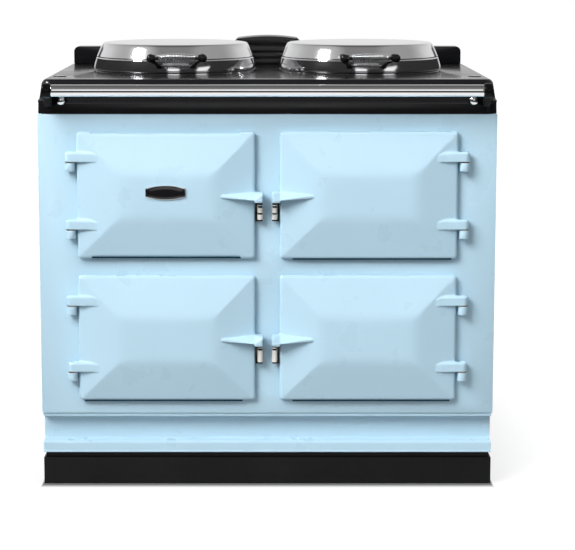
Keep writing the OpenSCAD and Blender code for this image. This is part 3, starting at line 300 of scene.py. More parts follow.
def register(name, mesh, slot, body, replaces, sharp, mat=None):
    """Shades a mesh, gives it its material, puts it in the scene on its body and hides the CAD
    nodes it stands for.
    """
    mesh.shade_smooth()
    mesh.set_sharp_from_angle(angle=math.radians(sharp))
    mesh.materials.append(mat or MATS[slot])
    obj = bpy.data.objects.new(name, mesh)
    bpy.context.scene.collection.objects.link(obj)
    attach(obj, body)
    if replaces:
        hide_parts(*replaces)


BEVEL_FROM = math.radians(32)
FLAT_WITHIN = math.radians(0.2)


def dressed(node, slot, bevel, mat=None):
    """A copy of a CAD node with its edges broken, which stands for the node."""
    source = NODES[node]
    bm = bmesh.new()
    bm.from_mesh(source.data)
    bmesh.ops.remove_doubles(bm, verts=bm.verts, dist=2e-6)
    bmesh.ops.dissolve_limit(bm, angle_limit=FLAT_WITHIN, verts=bm.verts, edges=bm.edges)
    if bevel:
        edges = [e for e in bm.edges
                 if len(e.link_faces) == 2 and e.calc_face_angle(0.0) > BEVEL_FROM]
        bmesh.ops.bevel(bm, geom=edges, offset=bevel * MM, segments=2, profile=0.5,
                        affect="EDGES", clamp_overlap=True)
    bmesh.ops.recalc_face_normals(bm, faces=bm.faces)
    verts = [tuple(v.co) for v in bm.verts]
    faces = [tuple(v.index for v in f.verts) for f in bm.faces]
    bm.free()
    name = node + "_dressed"
    mesh = bpy.data.meshes.new(name)
    mesh.from_pydata(verts, [], faces)
    mesh.update()
    register(name, mesh, slot, source["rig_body"], [node], 35.0, mat)


def ring_faces(rows, count, closed_rows=False):
    """Quads between rows of points, each row a closed loop of count points."""
    out = []
    for i in range(rows if closed_rows else rows - 1):
        a, b = i * count, ((i + 1) % rows) * count
        for k in range(count):
            n = (k + 1) % count
            out.append((a + k, a + n, b + n, b + k))
    return out


def loft(loops, closed=False):
    """A solid through equal loops of points; an open one ends in flats."""
    n, last = len(loops[0]), len(loops) - 1
    verts = [v for loop in loops for v in loop]
    faces = ring_faces(len(loops), n, closed)
    if not closed:
        faces += [tuple(range(n)), tuple(range(last * n, (last + 1) * n))]
    return verts, faces


def supported(line, gap=1.2):
    """The same line with points near the ends of its long stretches, which keep them flat."""
    out = [line[0]]
    for a, b in zip(line, line[1:]):
        length = math.dist(a, b)
        if length > 4 * gap:
            for t in (gap / length, 1 - gap / length):
                out.append(tuple(p + (q - p) * t for p, q in zip(a, b)))
        out.append(b)
    return out


def lathe(line, count):
    """A profile of (radius, height) turned round Z; ends on the axis are closed with one point."""
    line = supported(line)
    angles = [2 * math.pi * k / count for k in range(count)]
    verts, faces, rows = [], [], []
    for r, z in line:
        if r < 1e-6:
            rows.append([len(verts)])
            verts.append((0.0, 0.0, z))
        else:
            rows.append(list(range(len(verts), len(verts) + count)))
            verts += [(r * math.cos(a), r * math.sin(a), z) for a in angles]
    for low, high in zip(rows, rows[1:]):
        for k in range(count):
            n = (k + 1) % count
            if len(low) == 1:
                faces.append((low[0], high[k], high[n]))
            elif len(high) == 1:
                faces.append((low[k], low[n], high[0]))
            else:
                faces.append((low[k], low[n], high[n], high[k]))
    return verts, faces


def moved(shape, matrix):
    """The shape with its points taken through a matrix."""
    verts, faces = shape
    return [tuple(matrix @ Vector(v)) for v in verts], faces


def at(x, y, z, turn=0.0, axis="Z"):
    """The matrix of a place, and of a turn in degrees about an axis through it."""
    return Matrix.Translation((x, y, z)) @ Matrix.Rotation(math.radians(turn), 4, axis)


def joined(shapes):
    """Several shapes as one."""
    verts, faces = [], []
    for v, f in shapes:
        base = len(verts)
        verts += v
        faces += [tuple(i + base for i in face) for face in f]
    return verts, faces


def rounded(points, radius, steps):
    """The same line with its inner corners rounded; radius is one number or one for each point."""
    out = [points[0]]
    for i in range(1, len(points) - 1):
        r = radius[i] if isinstance(radius, (list, tuple)) else radius
        a, p, b = (np.array(points[j], float) for j in (i - 1, i, i + 1))
        u, v = a - p, b - p
        lu, lv = np.linalg.norm(u), np.linalg.norm(v)
        cut = min(r, 0.49 * lu, 0.49 * lv)
        if cut < 1e-6:
            out.append(tuple(p))
            continue
        s, e = p + u / lu * cut, p + v / lv * cut
        for k in range(steps + 1):
            t = k / steps
            out.append(tuple((1 - t) ** 2 * s + 2 * t * (1 - t) * p + t * t * e))
    out.append(points[-1])
    return out


def tube(path, radius, sides):
    """A tube along a path, with flat ends."""
    path = [Vector(p) for p in path]
    verts = []
    last = None
    for i, p in enumerate(path):
        t = (path[min(i + 1, len(path) - 1)] - path[max(i - 1, 0)]).normalized()
        side = last if last is not None else t.orthogonal().normalized()
        side = (side - t * side.dot(t)).normalized()
        last = side
        up = t.cross(side)
        for k in range(sides):
            a = 2 * math.pi * k / sides
            verts.append(tuple(p + radius * (math.cos(a) * side + math.sin(a) * up)))
    faces = ring_faces(len(path), sides)
    faces.append(tuple(reversed(range(sides))))
    faces.append(tuple(range((len(path) - 1) * sides, len(path) * sides)))
    return verts, faces


# ---- Castings as smooth blended solids ----


def soft_min(a, b, k):
    """Two solids as one, blended over a width k where they meet."""
    h = np.clip(0.5 + 0.5 * (b - a) / k, 0, 1)
    return b + (a - b) * h - k * h * (1 - h)


def round_max(a, b, r):
    """The common part of two solids, with an edge of radius r."""
    return np.minimum(np.maximum(a, b), -r) + np.hypot(np.maximum(a + r, 0), np.maximum(b + r, 0))


def step_up(t):
    """A smooth step, from 0 where t is 0 to 1 where it is 1."""
    t = np.clip(t, 0, 1)
    return t * t * (3 - 2 * t)


SMALLEST_CELL, PROBE, MOST_PULL = 0.4, 0.02, 1.5


def grid_axis(lo, hi, coarse, fine=()):
    """Positions from lo to hi, closer together within the fine stretches (start, end, step)."""
    out = [lo]
    while out[-1] < hi:
        p = out[-1]
        step = coarse
        for a, b, s in fine:
            if a <= p < b:
                step = s
                break
            if p < a < p + step:
                step = a - p
        out.append(p + max(step, SMALLEST_CELL))
    return np.array(out)


def surface(field, axes):
    """Mesh of the surface where the field is 0, each point pulled onto it."""
    grid = np.meshgrid(*axes, indexing="ij")
    value = field(*grid)
    inside = value < 0
    cells = tuple(len(a) - 1 for a in axes)
    total = np.zeros(cells + (3,))
    count = np.zeros(cells)
    crossings = []
    for ax in range(3):
        lo = tuple(slice(0, -1) if k == ax else slice(None) for k in range(3))
        hi = tuple(slice(1, None) if k == ax else slice(None) for k in range(3))
        hit = np.argwhere(inside[lo] != inside[hi])
        v0 = value[lo][tuple(hit.T)]
        v1 = value[hi][tuple(hit.T)]
        t = v0 / (v0 - v1)
        pos = np.stack([axes[k][hit[:, k]] for k in range(3)], 1).astype(float)
        pos[:, ax] += t * (axes[ax][hit[:, ax] + 1] - axes[ax][hit[:, ax]])
        a, b = (ax + 1) % 3, (ax + 2) % 3
        for da in (0, 1):
            for db in (0, 1):
                cell = hit.copy()
                cell[:, a] -= da
                cell[:, b] -= db
                ok = ((cell >= 0) & (cell < np.array(cells))).all(1)
                np.add.at(total, tuple(cell[ok].T), pos[ok])
                np.add.at(count, tuple(cell[ok].T), 1)
        crossings.append((ax, a, b, hit, v0 < 0))
    used = count > 0
    index = -np.ones(cells, int)
    index[used] = np.arange(used.sum())
    points = total[used] / count[used][:, None]
    start = points.copy()
    for _ in range(4):
        f = field(*points.T)
        grad = np.stack([
            (field(*(points + d).T) - field(*(points - d).T)) / (2 * PROBE)
            for d in np.eye(3) * PROBE], 1)
        move = grad * (f / np.maximum((grad ** 2).sum(1), 0.05))[:, None]
        points = start + np.clip(points - move - start, -MOST_PULL, MOST_PULL)
    faces = []
    for ax, a, b, hit, first_in in crossings:
        ok = (hit[:, a] > 0) & (hit[:, b] > 0) & (hit[:, a] < cells[a]) & (hit[:, b] < cells[b])
        hit, first_in = hit[ok], first_in[ok]
        quad = []
        for da, db in ((1, 1), (0, 1), (0, 0), (1, 0)):
            cell = hit.copy()
            cell[:, a] -= da
            cell[:, b] -= db
            quad.append(index[tuple(cell.T)])
        quad = np.stack(quad, 1)
        quad[~first_in] = quad[~first_in][:, ::-1]
        faces.append(quad)
    return points, np.concatenate(faces)


CASTING_SHARP = 50.0


def casting(name, field, axes, slot, body, replaces, place, mirror):
    """A blended casting; place puts its (x, depth, z) points in the frame, in millimetres."""
    points, faces = surface(field, axes)
    verts = np.stack([points[:, 0], -points[:, 1], points[:, 2]], 1)
    if mirror:
        verts[:, 0] *= -1
    else:
        faces = faces[:, ::-1]
    verts = (verts + np.array(place)) * MM
    mesh = bpy.data.meshes.new(name)
    mesh.from_pydata(verts.tolist(), [], faces.tolist())
    mesh.update()
    register(name, mesh, slot, body, replaces, CASTING_SHARP)


# ---- Doors ----

DOOR_W, DOOR_H = 383.0, 275.0
DOOR_X, DOOR_BACK_Y = 218.0, -341.0
DOOR_Z = {1: 641.5, 0: 329.0}
DOORS = [("control", -1, 1), ("roasting", 1, 1), ("baking", -1, 0), ("simmering", 1, 0)]
DOOR_CORNER, BACK_SINK = 7.0, 8.0
RIM, BAND_W, BAND_H, CROWN = 14.0, 84.0, 20.0, 2.0
LIP_W, LIP_R = 4.0, 6.0
# The control door is less high by STEP_H above and below, but for its two ends
STEP_H, STEP_FROM, STEP_TO, STEP_RUN = 3.6, -163.0, 162.0, 4.0
ARM_STARTS = (65.0, 211.0)
ARM_H, ARM_L, ARM_R = 21.0, 58.0, 11.0
HINGE_OUT, HINGE_D = 14.0, 13.0
BORE_R, BORE_DEEP = 5.05, 16.0
ARM_D, ARM_HALF = 15.5, 8.5
TIP_X, TIP_W, TIP_LOW, RIDGE_D, NOSE_X = 208.4, 17.8, 12.5, 43.0, 118.6
WING_TOP, WING_ROOT = 7.5, 7.0


def door_field(stepped):
    """A door with its arms and wing; x and z from its centre, d forward from its back."""
    hx, hz = DOOR_W / 2, DOOR_H / 2

    def field(x, d, z):
        ax, az = np.abs(x), np.abs(z)
        half_z = hz
        if stepped:
            half_z = hz - (STEP_H * step_up((x - STEP_FROM) / STEP_RUN)
                           * step_up((STEP_TO - x) / STEP_RUN))
        qx, qz = ax - hx + DOOR_CORNER, az - half_z + DOOR_CORNER
        outline = (np.hypot(np.maximum(qx, 0), np.maximum(qz, 0))
                   + np.minimum(np.maximum(qx, qz), 0) - DOOR_CORNER)
        top = RIM + BAND_H + CROWN * (1 - (ax / hx) ** 2)
        lip = BAND_H / (BAND_W - LIP_W)
        across = soft_min(RIM + lip * np.maximum(hx - LIP_W - ax, 0), top, 4.0)
        along = soft_min(RIM + lip * np.maximum(hz - LIP_W - az, 0), RIM + BAND_H + CROWN, 4.0)
        body = round_max(outline, (d - soft_min(across, along, 0.7)) / 1.03, LIP_R)
        hollow = np.maximum(np.maximum(ax - hx, az - hz) + BACK_SINK, d - BACK_SINK)
        body = np.maximum(round_max(body, -d, 0.8), -hollow)
        # Hinge arms, with a broad rounding along their upper edge
        for start in ARM_STARTS:
            z0 = start - hz
            ux = x + hx + HINGE_OUT
            knuckle = np.hypot(ux, d - HINGE_D) - ARM_R
            block = round_max(ux - ARM_L, np.maximum(-ux, np.abs(d - ARM_D) - ARM_HALF), 4.0)
            plan = np.minimum(knuckle, block)
            arm = round_max(round_max(plan, z - z0 - ARM_H, 5.5), z0 - z, 1.2)
            arm = round_max(arm, 0.42 * (ux - ARM_L) + 0.908 * (z - z0 - ARM_H + 6.0), 3.0)
            body = soft_min(body, arm, 4.0)
            bore = np.maximum(np.hypot(ux, d - HINGE_D) - BORE_R, z - z0 - BORE_DEEP)
            body = np.maximum(body, -bore)
        # The handle: a wedge that runs out on the band with a blunt nose, and a tip
        inwards = TIP_X - TIP_W - x
        slope = 0.523 * d + 0.852 * z - 17.37
        facet = slope - 0.0341 * inwards
        under = 0.0587 * d - 0.998 * z - 9.9 + 0.066 * inwards
        wedge = round_max(round_max(facet, under, 1.0), z - WING_TOP + 0.069 * inwards, 1.5)
        wedge = round_max(wedge, d - RIDGE_D + 0.148 * inwards, 1.2)
        wedge = round_max(wedge, NOSE_X - x, 3.5)
        wedge = np.maximum(wedge, np.maximum(WING_ROOT - d, x - TIP_X + 2))
        # The tip's sloping facet turns, so that its front face is taller at the very end
        facet = (slope + 0.565 * inwards) / 1.15
        tip = round_max(round_max(facet, d - RIDGE_D, 1.0), -TIP_LOW - z, 2.0)
        tip = round_max(round_max(tip, x - TIP_X, 2.5), inwards, 1.0)
        tip = round_max(round_max(tip, z - WING_TOP, 1.5), WING_ROOT - d, 1.0)
        return soft_min(body, soft_min(wedge, tip, 1.0), 3.0)

    return field


def build_doors():
    """The four doors; the right ones are mirrored, so that their hinges are at the right."""
    hz = DOOR_H / 2
    arms = [(s - hz - 5, s - hz + ARM_H + 5, 1.4) for s in ARM_STARTS]
    axes = (
        grid_axis(-219, 210, 6.0, [(-219, -140, 1.4), (110, 184, 1.8), (184, 210, 1.3)]),
        grid_axis(-1.6, 45, 1.4),
        grid_axis(-139.5, 139.5, 6.0,
                  arms + [(-139.5, -130, 1.3), (-17, 12, 1.25), (130, 139.5, 1.3)]),
    )
    for name, side, row in DOORS:
        casting(name + "_door_casting", door_field(name == "control"), axes, "blue_enamel",
                "door_" + name, [name + "_door", name + "_handle"],
                (side * DOOR_X, DOOR_BACK_Y, DOOR_Z[row]), side > 0)


# The strip under each door is painted shade, a dark piece that stands for the shadow line below the
# door's lower edge.
SHADE_BACK, SHADE_FRONT, SHADE_UP, SHADE_DOWN = -4.0, -11.5, 1.5, 2.4
SHADE_ENDS = {"control": (28.0, 353.0)}


def build_shade_lines():
    """A dark strip under each door's lower edge, painted shade that shows as its shadow line."""
    hx, hz = DOOR_W / 2, DOOR_H / 2
    for name, side, row in DOORS:
        start, end = SHADE_ENDS.get(name, (12.0, 355.0))
        edge = -hz + (STEP_H if name == "control" else 0.0)
        top, foot = edge + SHADE_UP, edge - SHADE_DOWN
        section = rounded([(SHADE_BACK, top), (SHADE_FRONT, top), (SHADE_FRONT, foot),
                           (SHADE_BACK, foot)], 0.8, 3)
        shade_strip = loft([[(-side * x, y, z) for y, z in section] for x in (start - hx, end - hx)])
        verts, faces = moved(shade_strip, at(side * DOOR_X, DOOR_BACK_Y, DOOR_Z[row]))
        piece(name + "_door_shade_line", verts, faces, "handle_black", "door_" + name, (), 35.0,
              MATS["door_shade_line"])


build_doors()
build_shade_lines()

# ---- Badge ----


BADGE_HALF, BADGE_END, BADGE_MIDDLE = 43.0, 9.0, 15.5
BADGE_Y, BADGE_UP = -377.0, 9.5


def badge_outline(inset, steps=16):
    """The badge's outline in (x, z): straight ends and bowed long sides."""
    top = []
    for k in range(steps + 1):
        t = k / steps
        x = BADGE_HALF * (1 - 2 * t)
        bow = 4 * (BADGE_MIDDLE - BADGE_END) * t * (1 - t)
        top.append((x * (1 - inset / BADGE_HALF), BADGE_END + bow - inset))
    return top + [(-x, -z) for x, z in top]


def badge_piece(name, rows, slot, replaces, closed):
    """Outlines of the badge at (inset, depth) steps, as one mesh; an open one ends in a flat."""
    shape = loft([[(x, -depth, z) for x, z in badge_outline(inset)] for inset, depth in rows],
                 closed)
    verts, faces = moved(shape, at(-DOOR_X, BADGE_Y, DOOR_Z[1] + BADGE_UP))
    piece(name, verts, faces, slot, "door_control", replaces, 40.0)


badge_piece("badge_rim", [(0, -0.7), (0, 2.7), (0.15, 3.2), (0.6, 3.4), (1.1, 3.3), (1.4, 2.9),
                          (1.4, -0.7)], "chrome", ["badge"], True)
badge_piece("badge_face", [(1.3, -0.6), (1.35, 2.4), (1.8, 2.8), (3.0, 3.15), (5.0, 3.5),
                           (7.5, 3.8), (8.6, 3.85)], "badge_black", (), False)

# ---- Lids ----

LID_X, LID_Y, DECK_Z = 213.0, 1.0, 890.0
LID_R, LID_H = 188.0, 66.0
SIDES = (("left", -1), ("right", 1))


def lid_profile():
    """A lid's section as (radius, height): the crowned top, the skirt, and the hollow inside."""
    r, h = LID_R, LID_H
    crown = [(156 * k / 14, h + 4 - 4 * (k / 14) ** 2) for k in range(15)]
    side = [(166, h - 0.8), (171, h - 9), (181.5, 0.52 * h), (180.9, 0.5 * h - 0.6),
            (182.6, 0.5 * h - 2.2), (186.2, 0.28 * h), (r, 0.17 * h), (r, 4.4), (r - 1.6, 3.0),
            (r - 3, 3.0)]
    line = rounded([crown[-1]] + side, [0, 7, 9, 0.5, 0.4, 0.9, 14, 6, 1.6, 0.4, 0], 5)
    inner = [(r - 3, 12), (177.5, 0.5 * h), (168, h - 12), (150, h - 3)]
    return crown[:-1] + line + inner + [(0, h + 1)]


for name, side in SIDES:
    verts, faces = moved(lathe(lid_profile(), 192), at(side * LID_X, LID_Y, DECK_Z))
    piece("lid_%s_shell" % name, verts, faces, "lid_metal", "cover_" + name, ["lid_" + name], 28.0)

COIL_L, COIL_TURNS, COIL_R, COIL_SWELL, WIRE_R = 94.0, 15, 7.5, 4.0, 1.75


def wound(t, ramp=0.05):
    """How much of its turns the coil has made at t along it; its ends are wound closer."""
    if t < ramp:
        return t * t / (2 * ramp * (1 - ramp))
    if t > 1 - ramp:
        return 1 - (1 - t) ** 2 / (2 * ramp * (1 - ramp))
    return (t - ramp / 2) / (1 - ramp)


def coil_path(steps=24):
    """The wire's centre line, wider in the middle of the coil, with a straight end each side."""
    n = COIL_TURNS * steps
    out = []
    for i in range(n + 1):
        t = i / n
        a = 2 * math.pi * COIL_TURNS * wound(t)
        r = COIL_R - WIRE_R + COIL_SWELL * math.sin(math.pi * t)
        out.append(((t - 0.5) * (COIL_L - 4 * WIRE_R), r * math.cos(a), r * math.sin(a)))
    first, last = out[0], out[-1]
    return ([(first[0] - 2 * WIRE_R, first[1], first[2])] + out
            + [(last[0] + 2 * WIRE_R, last[1], last[2])])


HANDLE_Y, HANDLE_Z, HANDLE_TURN = -221.0, 39.0, 3.5
BALL_X, BALL_R, COLLAR_R = 57.5, 9.5, 8.0


def handle_shapes():
    """Rod with collars and balls, and two posts that widen where they meet the lid."""
    neck = math.acos(COLLAR_R / BALL_R)
    ball = [(BALL_R * math.cos(t), BALL_R * math.sin(t))
            for t in np.linspace(-neck, math.pi / 2, 14)]
    half = [(3.0, 0.0), (3.0, 47.0), (7.2, 47.0), (COLLAR_R, 47.8)] + [
        (max(r, 0.0), BALL_X + z) for r, z in ball]
    half[-1] = (0.0, half[-1][1])
    line = [(r, -z) for r, z in reversed(half[1:])] + half
    bar = moved(lathe(line, 40), Matrix.Rotation(math.radians(90), 4, "Y"))
    post = [(4.6, 0.0), (5.0, 6.0), (4.8, 20.0), (5.0, 28.0), (7.6, 31.5), (8.2, 36.0),
            (8.2, 41.5)]
    shapes = [bar]
    for s in (-1, 1):
        shapes.append(moved(lathe([(0, -2)] + post + [(0, 41.5)], 32),
                            Matrix.Translation((s * BALL_X, 0, 0))
                            @ Matrix.Rotation(math.radians(-90), 4, "X")))
    return joined(shapes)


for name, side in SIDES:
    place = (at(side * LID_X, LID_Y, DECK_Z, HANDLE_TURN)
             @ Matrix.Translation((0, HANDLE_Y, HANDLE_Z)))
    verts, faces = moved(tube(coil_path(), WIRE_R, 12), place)
    piece("lid_%s_coil_wire" % name, verts, faces, "chrome", "cover_" + name,
          ["lid_coil_" + name], 60.0)
    verts, faces = moved(handle_shapes(), place)
    piece("lid_%s_handle_posts" % name, verts, faces, "handle_black", "cover_" + name,
          ["lid_handle_" + name], 40.0)

# ---- Rail, bolts, plugs, hotplates ----

RAIL_HALF, RAIL_R, RAIL_Y, RAIL_Z = 458.0, 13.0, -395.0, 870.0
rail_line = rounded([(0, -RAIL_HALF), (RAIL_R, -RAIL_HALF), (RAIL_R, RAIL_HALF), (0, RAIL_HALF)],
                    2.5, 5)
verts, faces = moved(lathe(rail_line, 64), at(0, RAIL_Y, RAIL_Z, 90, "Y"))
piece("hand_rail_tube", verts, faces, "chrome", "root", ["hand_rail"], 40.0)

BOSS_X, BOSS_Z, BOSS_Y = 441.5, 846.0, -352.0
BOLT_R, BOLT_H = 9.5, 6.0
dome = [(BOLT_R * math.sin(t), BOLT_H * math.cos(t))
        for t in np.linspace(0, math.pi / 2 * 0.93, 12)]
bolt = lathe([(0.0, BOLT_H)] + dome[1:] + [(BOLT_R, 0.0), (0, 0)], 48)
verts, faces = joined([moved(bolt, at(s * BOSS_X, BOSS_Y, BOSS_Z, 90, "X")) for s in (-1, 1)])
piece("rail_bolt_heads", verts, faces, "chrome", "root", ["rail_bolts"], 40.0)


def on_deck(line, count, x, y):
    """Two turned shapes on the top plate, at -x and x."""
    return joined([moved(lathe(line, count), at(s * x, y, DECK_Z)) for s in (-1, 1)])


PLUG_R, PLUG_X, PLUG_Y = 14.5, 456.0, -228.0
plug_line = rounded([(0, 1.6), (PLUG_R - 1.3, 1.6), (PLUG_R, 0.6), (PLUG_R, 0), (0, 0)], 0.8, 3)
verts, faces = on_deck(plug_line, 48, PLUG_X, PLUG_Y)
piece("deck_plugs", verts, faces, "black_enamel", "root", ["top_plate_plugs"], 35.0)

PLATE_R, PLATE_DEEP = 168.0, 44.0
plate_line = rounded([(0, 4), (163.5, 4), (PLATE_R, 1), (PLATE_R, -PLATE_DEEP), (0, -PLATE_DEEP)],
                     2.0, 4)
verts, faces = on_deck(plate_line, 128, LID_X, LID_Y)
piece("hotplate_castings", verts, faces, "cast_iron", "root", ["hotplates"], 30.0,
      MATS["hotplate_iron"])
RING_IN, RING_OUT, RING_H = 170.0, 184.0, 2.7
ring_line = rounded([(RING_IN, 0), (RING_IN, RING_H), (RING_OUT, RING_H), (RING_OUT, 0)],
                    0.8, 3) + [(RING_IN, 0)]
verts, faces = on_deck(ring_line, 128, LID_X, LID_Y)
piece("seating_rings", verts, faces, "lid_metal", "root", ["hotplate_rings"], 35.0)

# ---- Catch rollers ----

ROLLER_R, ROLLER_L, COLLAR_T, GROOVE_T = 5.85, 32.6, 3.0, 3.6
CATCH_X, CATCH_Y, ROLLER_Z = 15.5, -354.0, -51.9
CORE_BORE, CORE_IN = 2.55, 1.2


def build_rollers():
    """Bright bands and a collar on a dark core, turned about each catch's pin."""
    core_r = ROLLER_R - CORE_IN
    core = [(CORE_BORE, 0), (core_r, 0), (core_r, ROLLER_L), (CORE_BORE, ROLLER_L),
            (CORE_BORE, 0)]
    for name, side, row in DOORS:
        bands = 1 + row
        height = (ROLLER_L - COLLAR_T - GROOVE_T - (bands - 1) * GROOVE_T) / bands
        rings = [(i * (height + GROOVE_T), height, ROLLER_R) for i in range(bands)]
        rings.append((ROLLER_L - COLLAR_T + 0.5, COLLAR_T - 1.0, ROLLER_R - 0.5))
        shapes = []
        for z, h, r in rings:
            line = [(core_r - 0.3, z), (r, z), (r, z + h), (core_r - 0.3, z + h), (core_r - 0.3, z)]
            shapes.append(lathe(rounded(line, [0, 0.6, 0.6, 0, 0], 4), 48))
        node = "catch_roller_" + name
        body = NODES[node]["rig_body"]
        place = at(side * CATCH_X, CATCH_Y, DOOR_Z[row] + ROLLER_Z)
        verts, faces = moved(joined(shapes), place)
        piece(node + "_bands", verts, faces, "chrome", body, [node], 35.0, MATS["roller_steel"])
        verts, faces = moved(lathe(core, 48), place)
        piece(node + "_core", verts, faces, "handle_black", body)


build_rollers()

# ---- Rail brackets ----


FACE_Y, RAIL_D = -340.0, 55.0
WRAP_R, BOSS_R, HALF_T = 15.5, 11.5, 8.5


def bracket_field(x, d, z):
    """One end bracket; x from the rail's end outwards, d forward from the front plate's face."""
    wrap = np.hypot(d - RAIL_D, z - RAIL_Z) - WRAP_R
    arm = np.maximum(np.maximum(d - 56, -30 - d), np.maximum(z - 882.5, 834.5 - z))
    # The arm's lower front edge slants from the boss up to the rail's wrap
    lean = (z - 834.5) * -0.72 + (d - 12) * 0.69 - 10.0
    arm = np.maximum(arm, lean)
    plan = soft_min(wrap, arm, 5.0)
    side = np.abs(x - RAIL_HALF - HALF_T) - HALF_T
    plate = round_max(plan, side, 3.0)
    boss = np.hypot(x - BOSS_X, z - BOSS_Z) - BOSS_R
    boss = round_max(boss, d - 12, 2.0)
    boss = np.maximum(boss, -14 - d)
    foot = np.maximum(np.maximum(BOSS_X - x, x - RAIL_HALF - 3), np.abs(z - BOSS_Z) - BOSS_R)
    foot = round_max(foot, d - 9, 2.5)
    foot = np.maximum(foot, -14 - d)
    return soft_min(plate, soft_min(boss, foot, 2.0), 4.0)


bracket_axes = (grid_axis(427, 478, 1.5), grid_axis(-16, 73, 1.6), grid_axis(832, 888, 1.5))
points, quads = surface(bracket_field, bracket_axes)
shapes = []
for s in (-1, 1):
    verts = np.stack([s * points[:, 0], FACE_Y - points[:, 1], points[:, 2]], 1)
    shapes.append((verts.tolist(), (quads if s < 0 else quads[:, ::-1]).tolist()))
verts, faces = joined(shapes)
piece("rail_end_brackets", verts, faces, "black_enamel", "root", ["rail_brackets"], 50.0,
      MATS["bracket_black"])

# ---- Base moulding ----

MOULDING_T, BOARD_T, COVE_IN = 42.0, 14.0, 27.0


def build_moulding():
    """A bead, an upright face, a roll, a deep cove and a strip, with plain boards behind them."""
    (x0, y0, z0), (x1, y1, z1) = ([v / MM for v in corner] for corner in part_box("base_moulding"))
    h = z1 - z0
    section = rounded([(MOULDING_T, 0), (0, 0), (0, 3.4), (1, 4.4), (1, 24.5), (COVE_IN, 26.5),
                       (COVE_IN, h - 9.5), (1.5, h - 8), (1.5, h), (MOULDING_T, h)],
                      [0, 0.8, 0.9, 0.5, 6.5, 2.5, 24, 0.5, 0.6, 0], 6)
    front = loft([[(x, y0 + y, z0 + z) for y, z in section] for x in (x0, x1)])
    start, inner = y0 + MOULDING_T, y1 - BOARD_T
    plan = rounded([(x1, start), (x1, y1), (x0, y1), (x0, start), (x0 + BOARD_T, start),
                    (x0 + BOARD_T, inner), (x1 - BOARD_T, inner), (x1 - BOARD_T, start)],
                   [0, 1.2, 1.2, 0, 0, 1.2, 1.2, 0], 3)
    boards = loft([[(x, y, z) for x, y in plan] for z in (z0, z1)])
    verts, faces = joined([front, boards])
    piece("base_moulding_boards", verts, faces, "blue_enamel", "root", ["base_moulding"], 35.0)


build_moulding()

# ---- Pieces that keep the CAD shape, with their edges broken ----

for node, slot, bevel in (
        ("plinth_boards", "plinth_black", 1.2), ("base_plate", "base_steel", 0.8),
        ("levelling_feet", "base_steel", 0.6),
        ("front_plate", "blue_enamel", 1.0), ("side_panels", "blue_enamel", 1.0),
        ("back_panel", "back_steel", 0.6), ("cable_gland", "gland_plastic", 0.3),
        ("rear_upstand", "black_enamel", 2.0),
        ("vent_cap", "vent_black", 0.8), ("hinge_lugs", "blue_enamel", 1.6),
        ("hinge_washers", "washer_brass", 0.25), ("hinge_pins", "chrome", 0.5),
        ("catch_brackets", "handle_black", 0.5), ("roasting_oven", "cast_iron", 1.5),
        ("baking_oven", "cast_iron", 1.5), ("simmering_oven", "cast_iron", 1.5),
        ("oven_shelves", "shelf_chrome", 0.0), ("control_panel", "control_sheet", 0.5),
        ("lid_hinge_bases", "black_enamel", 1.2),
        ("oven_elements", "element_steel", 0.8), ("hotplate_elements", "element_steel", 0.5)):
    dressed(node, slot, bevel)
dressed("top_plate", "black_enamel", 0.6, mat=MATS["deck_enamel"])
for name, side, row in DOORS:
    dressed(name + "_door_panel", "panel_aluminium", 1.5)
for name, side in SIDES:
    dressed("lid_panel_" + name, "panel_aluminium", 0.8)
    dressed("lid_arm_" + name, "chrome", 1.0)
for name in ("left", "middle", "right"):
    dressed("control_knob_" + name, "knob_plastic", 1.2)
NODES["insulation"].data.materials.clear()
NODES["insulation"].data.materials.append(MATS["insulation"])

# ---- Stage, light and camera ----

AMBIENT = 0.62
FLOOR_HALF, FLOOR = 14.0, 0.2
# The floor's own light rises away from the part, which paints shade about it, and from a painted
# contact shadow, a dark line along the plinth
FLOOR_LIFT, LIFT_RUN = (0.78, 0.95), 0.2
PAINTED_CONTACT_RUN, PAINTED_CONTACT_SIDE = (0.01, 0.032), 6.0
# In reflections it is white about this place, and dark from the second distance on
BRIGHT_ABOUT, BRIGHT_TO, DARK_LEVEL = (0, -0.3, 0), (1.3, 1.8), 0.06
KEY_DIR = Vector((-0.49, -0.58, 0.65)).normalized()
KEY_AIM = Vector((0.0, -0.3, 0.5))
KEY_AXIS = Vector((0.6, -0.3, 1.1))
KEY_AWAY, KEY_SIZE, KEY_LEVEL = 5.0, 3.2, 1.06
KEY_SPREAD = math.radians(75)
GLINT_DIR = Vector((-0.69, -0.33, 0.64)).normalized()
GLINT_AIM = Vector((-0.21, -0.18, 0.93))
GLINT_SIZE, GLINT_LEVEL = (1.0, 0.68), 0.7
CAMERA_PLACE, CAMERA_PITCH = (0.0, -4.34, 1.1431), 7.842
CAMERA_LENS, CAMERA_SHIFT = 117.0, (0.035, -0.1)

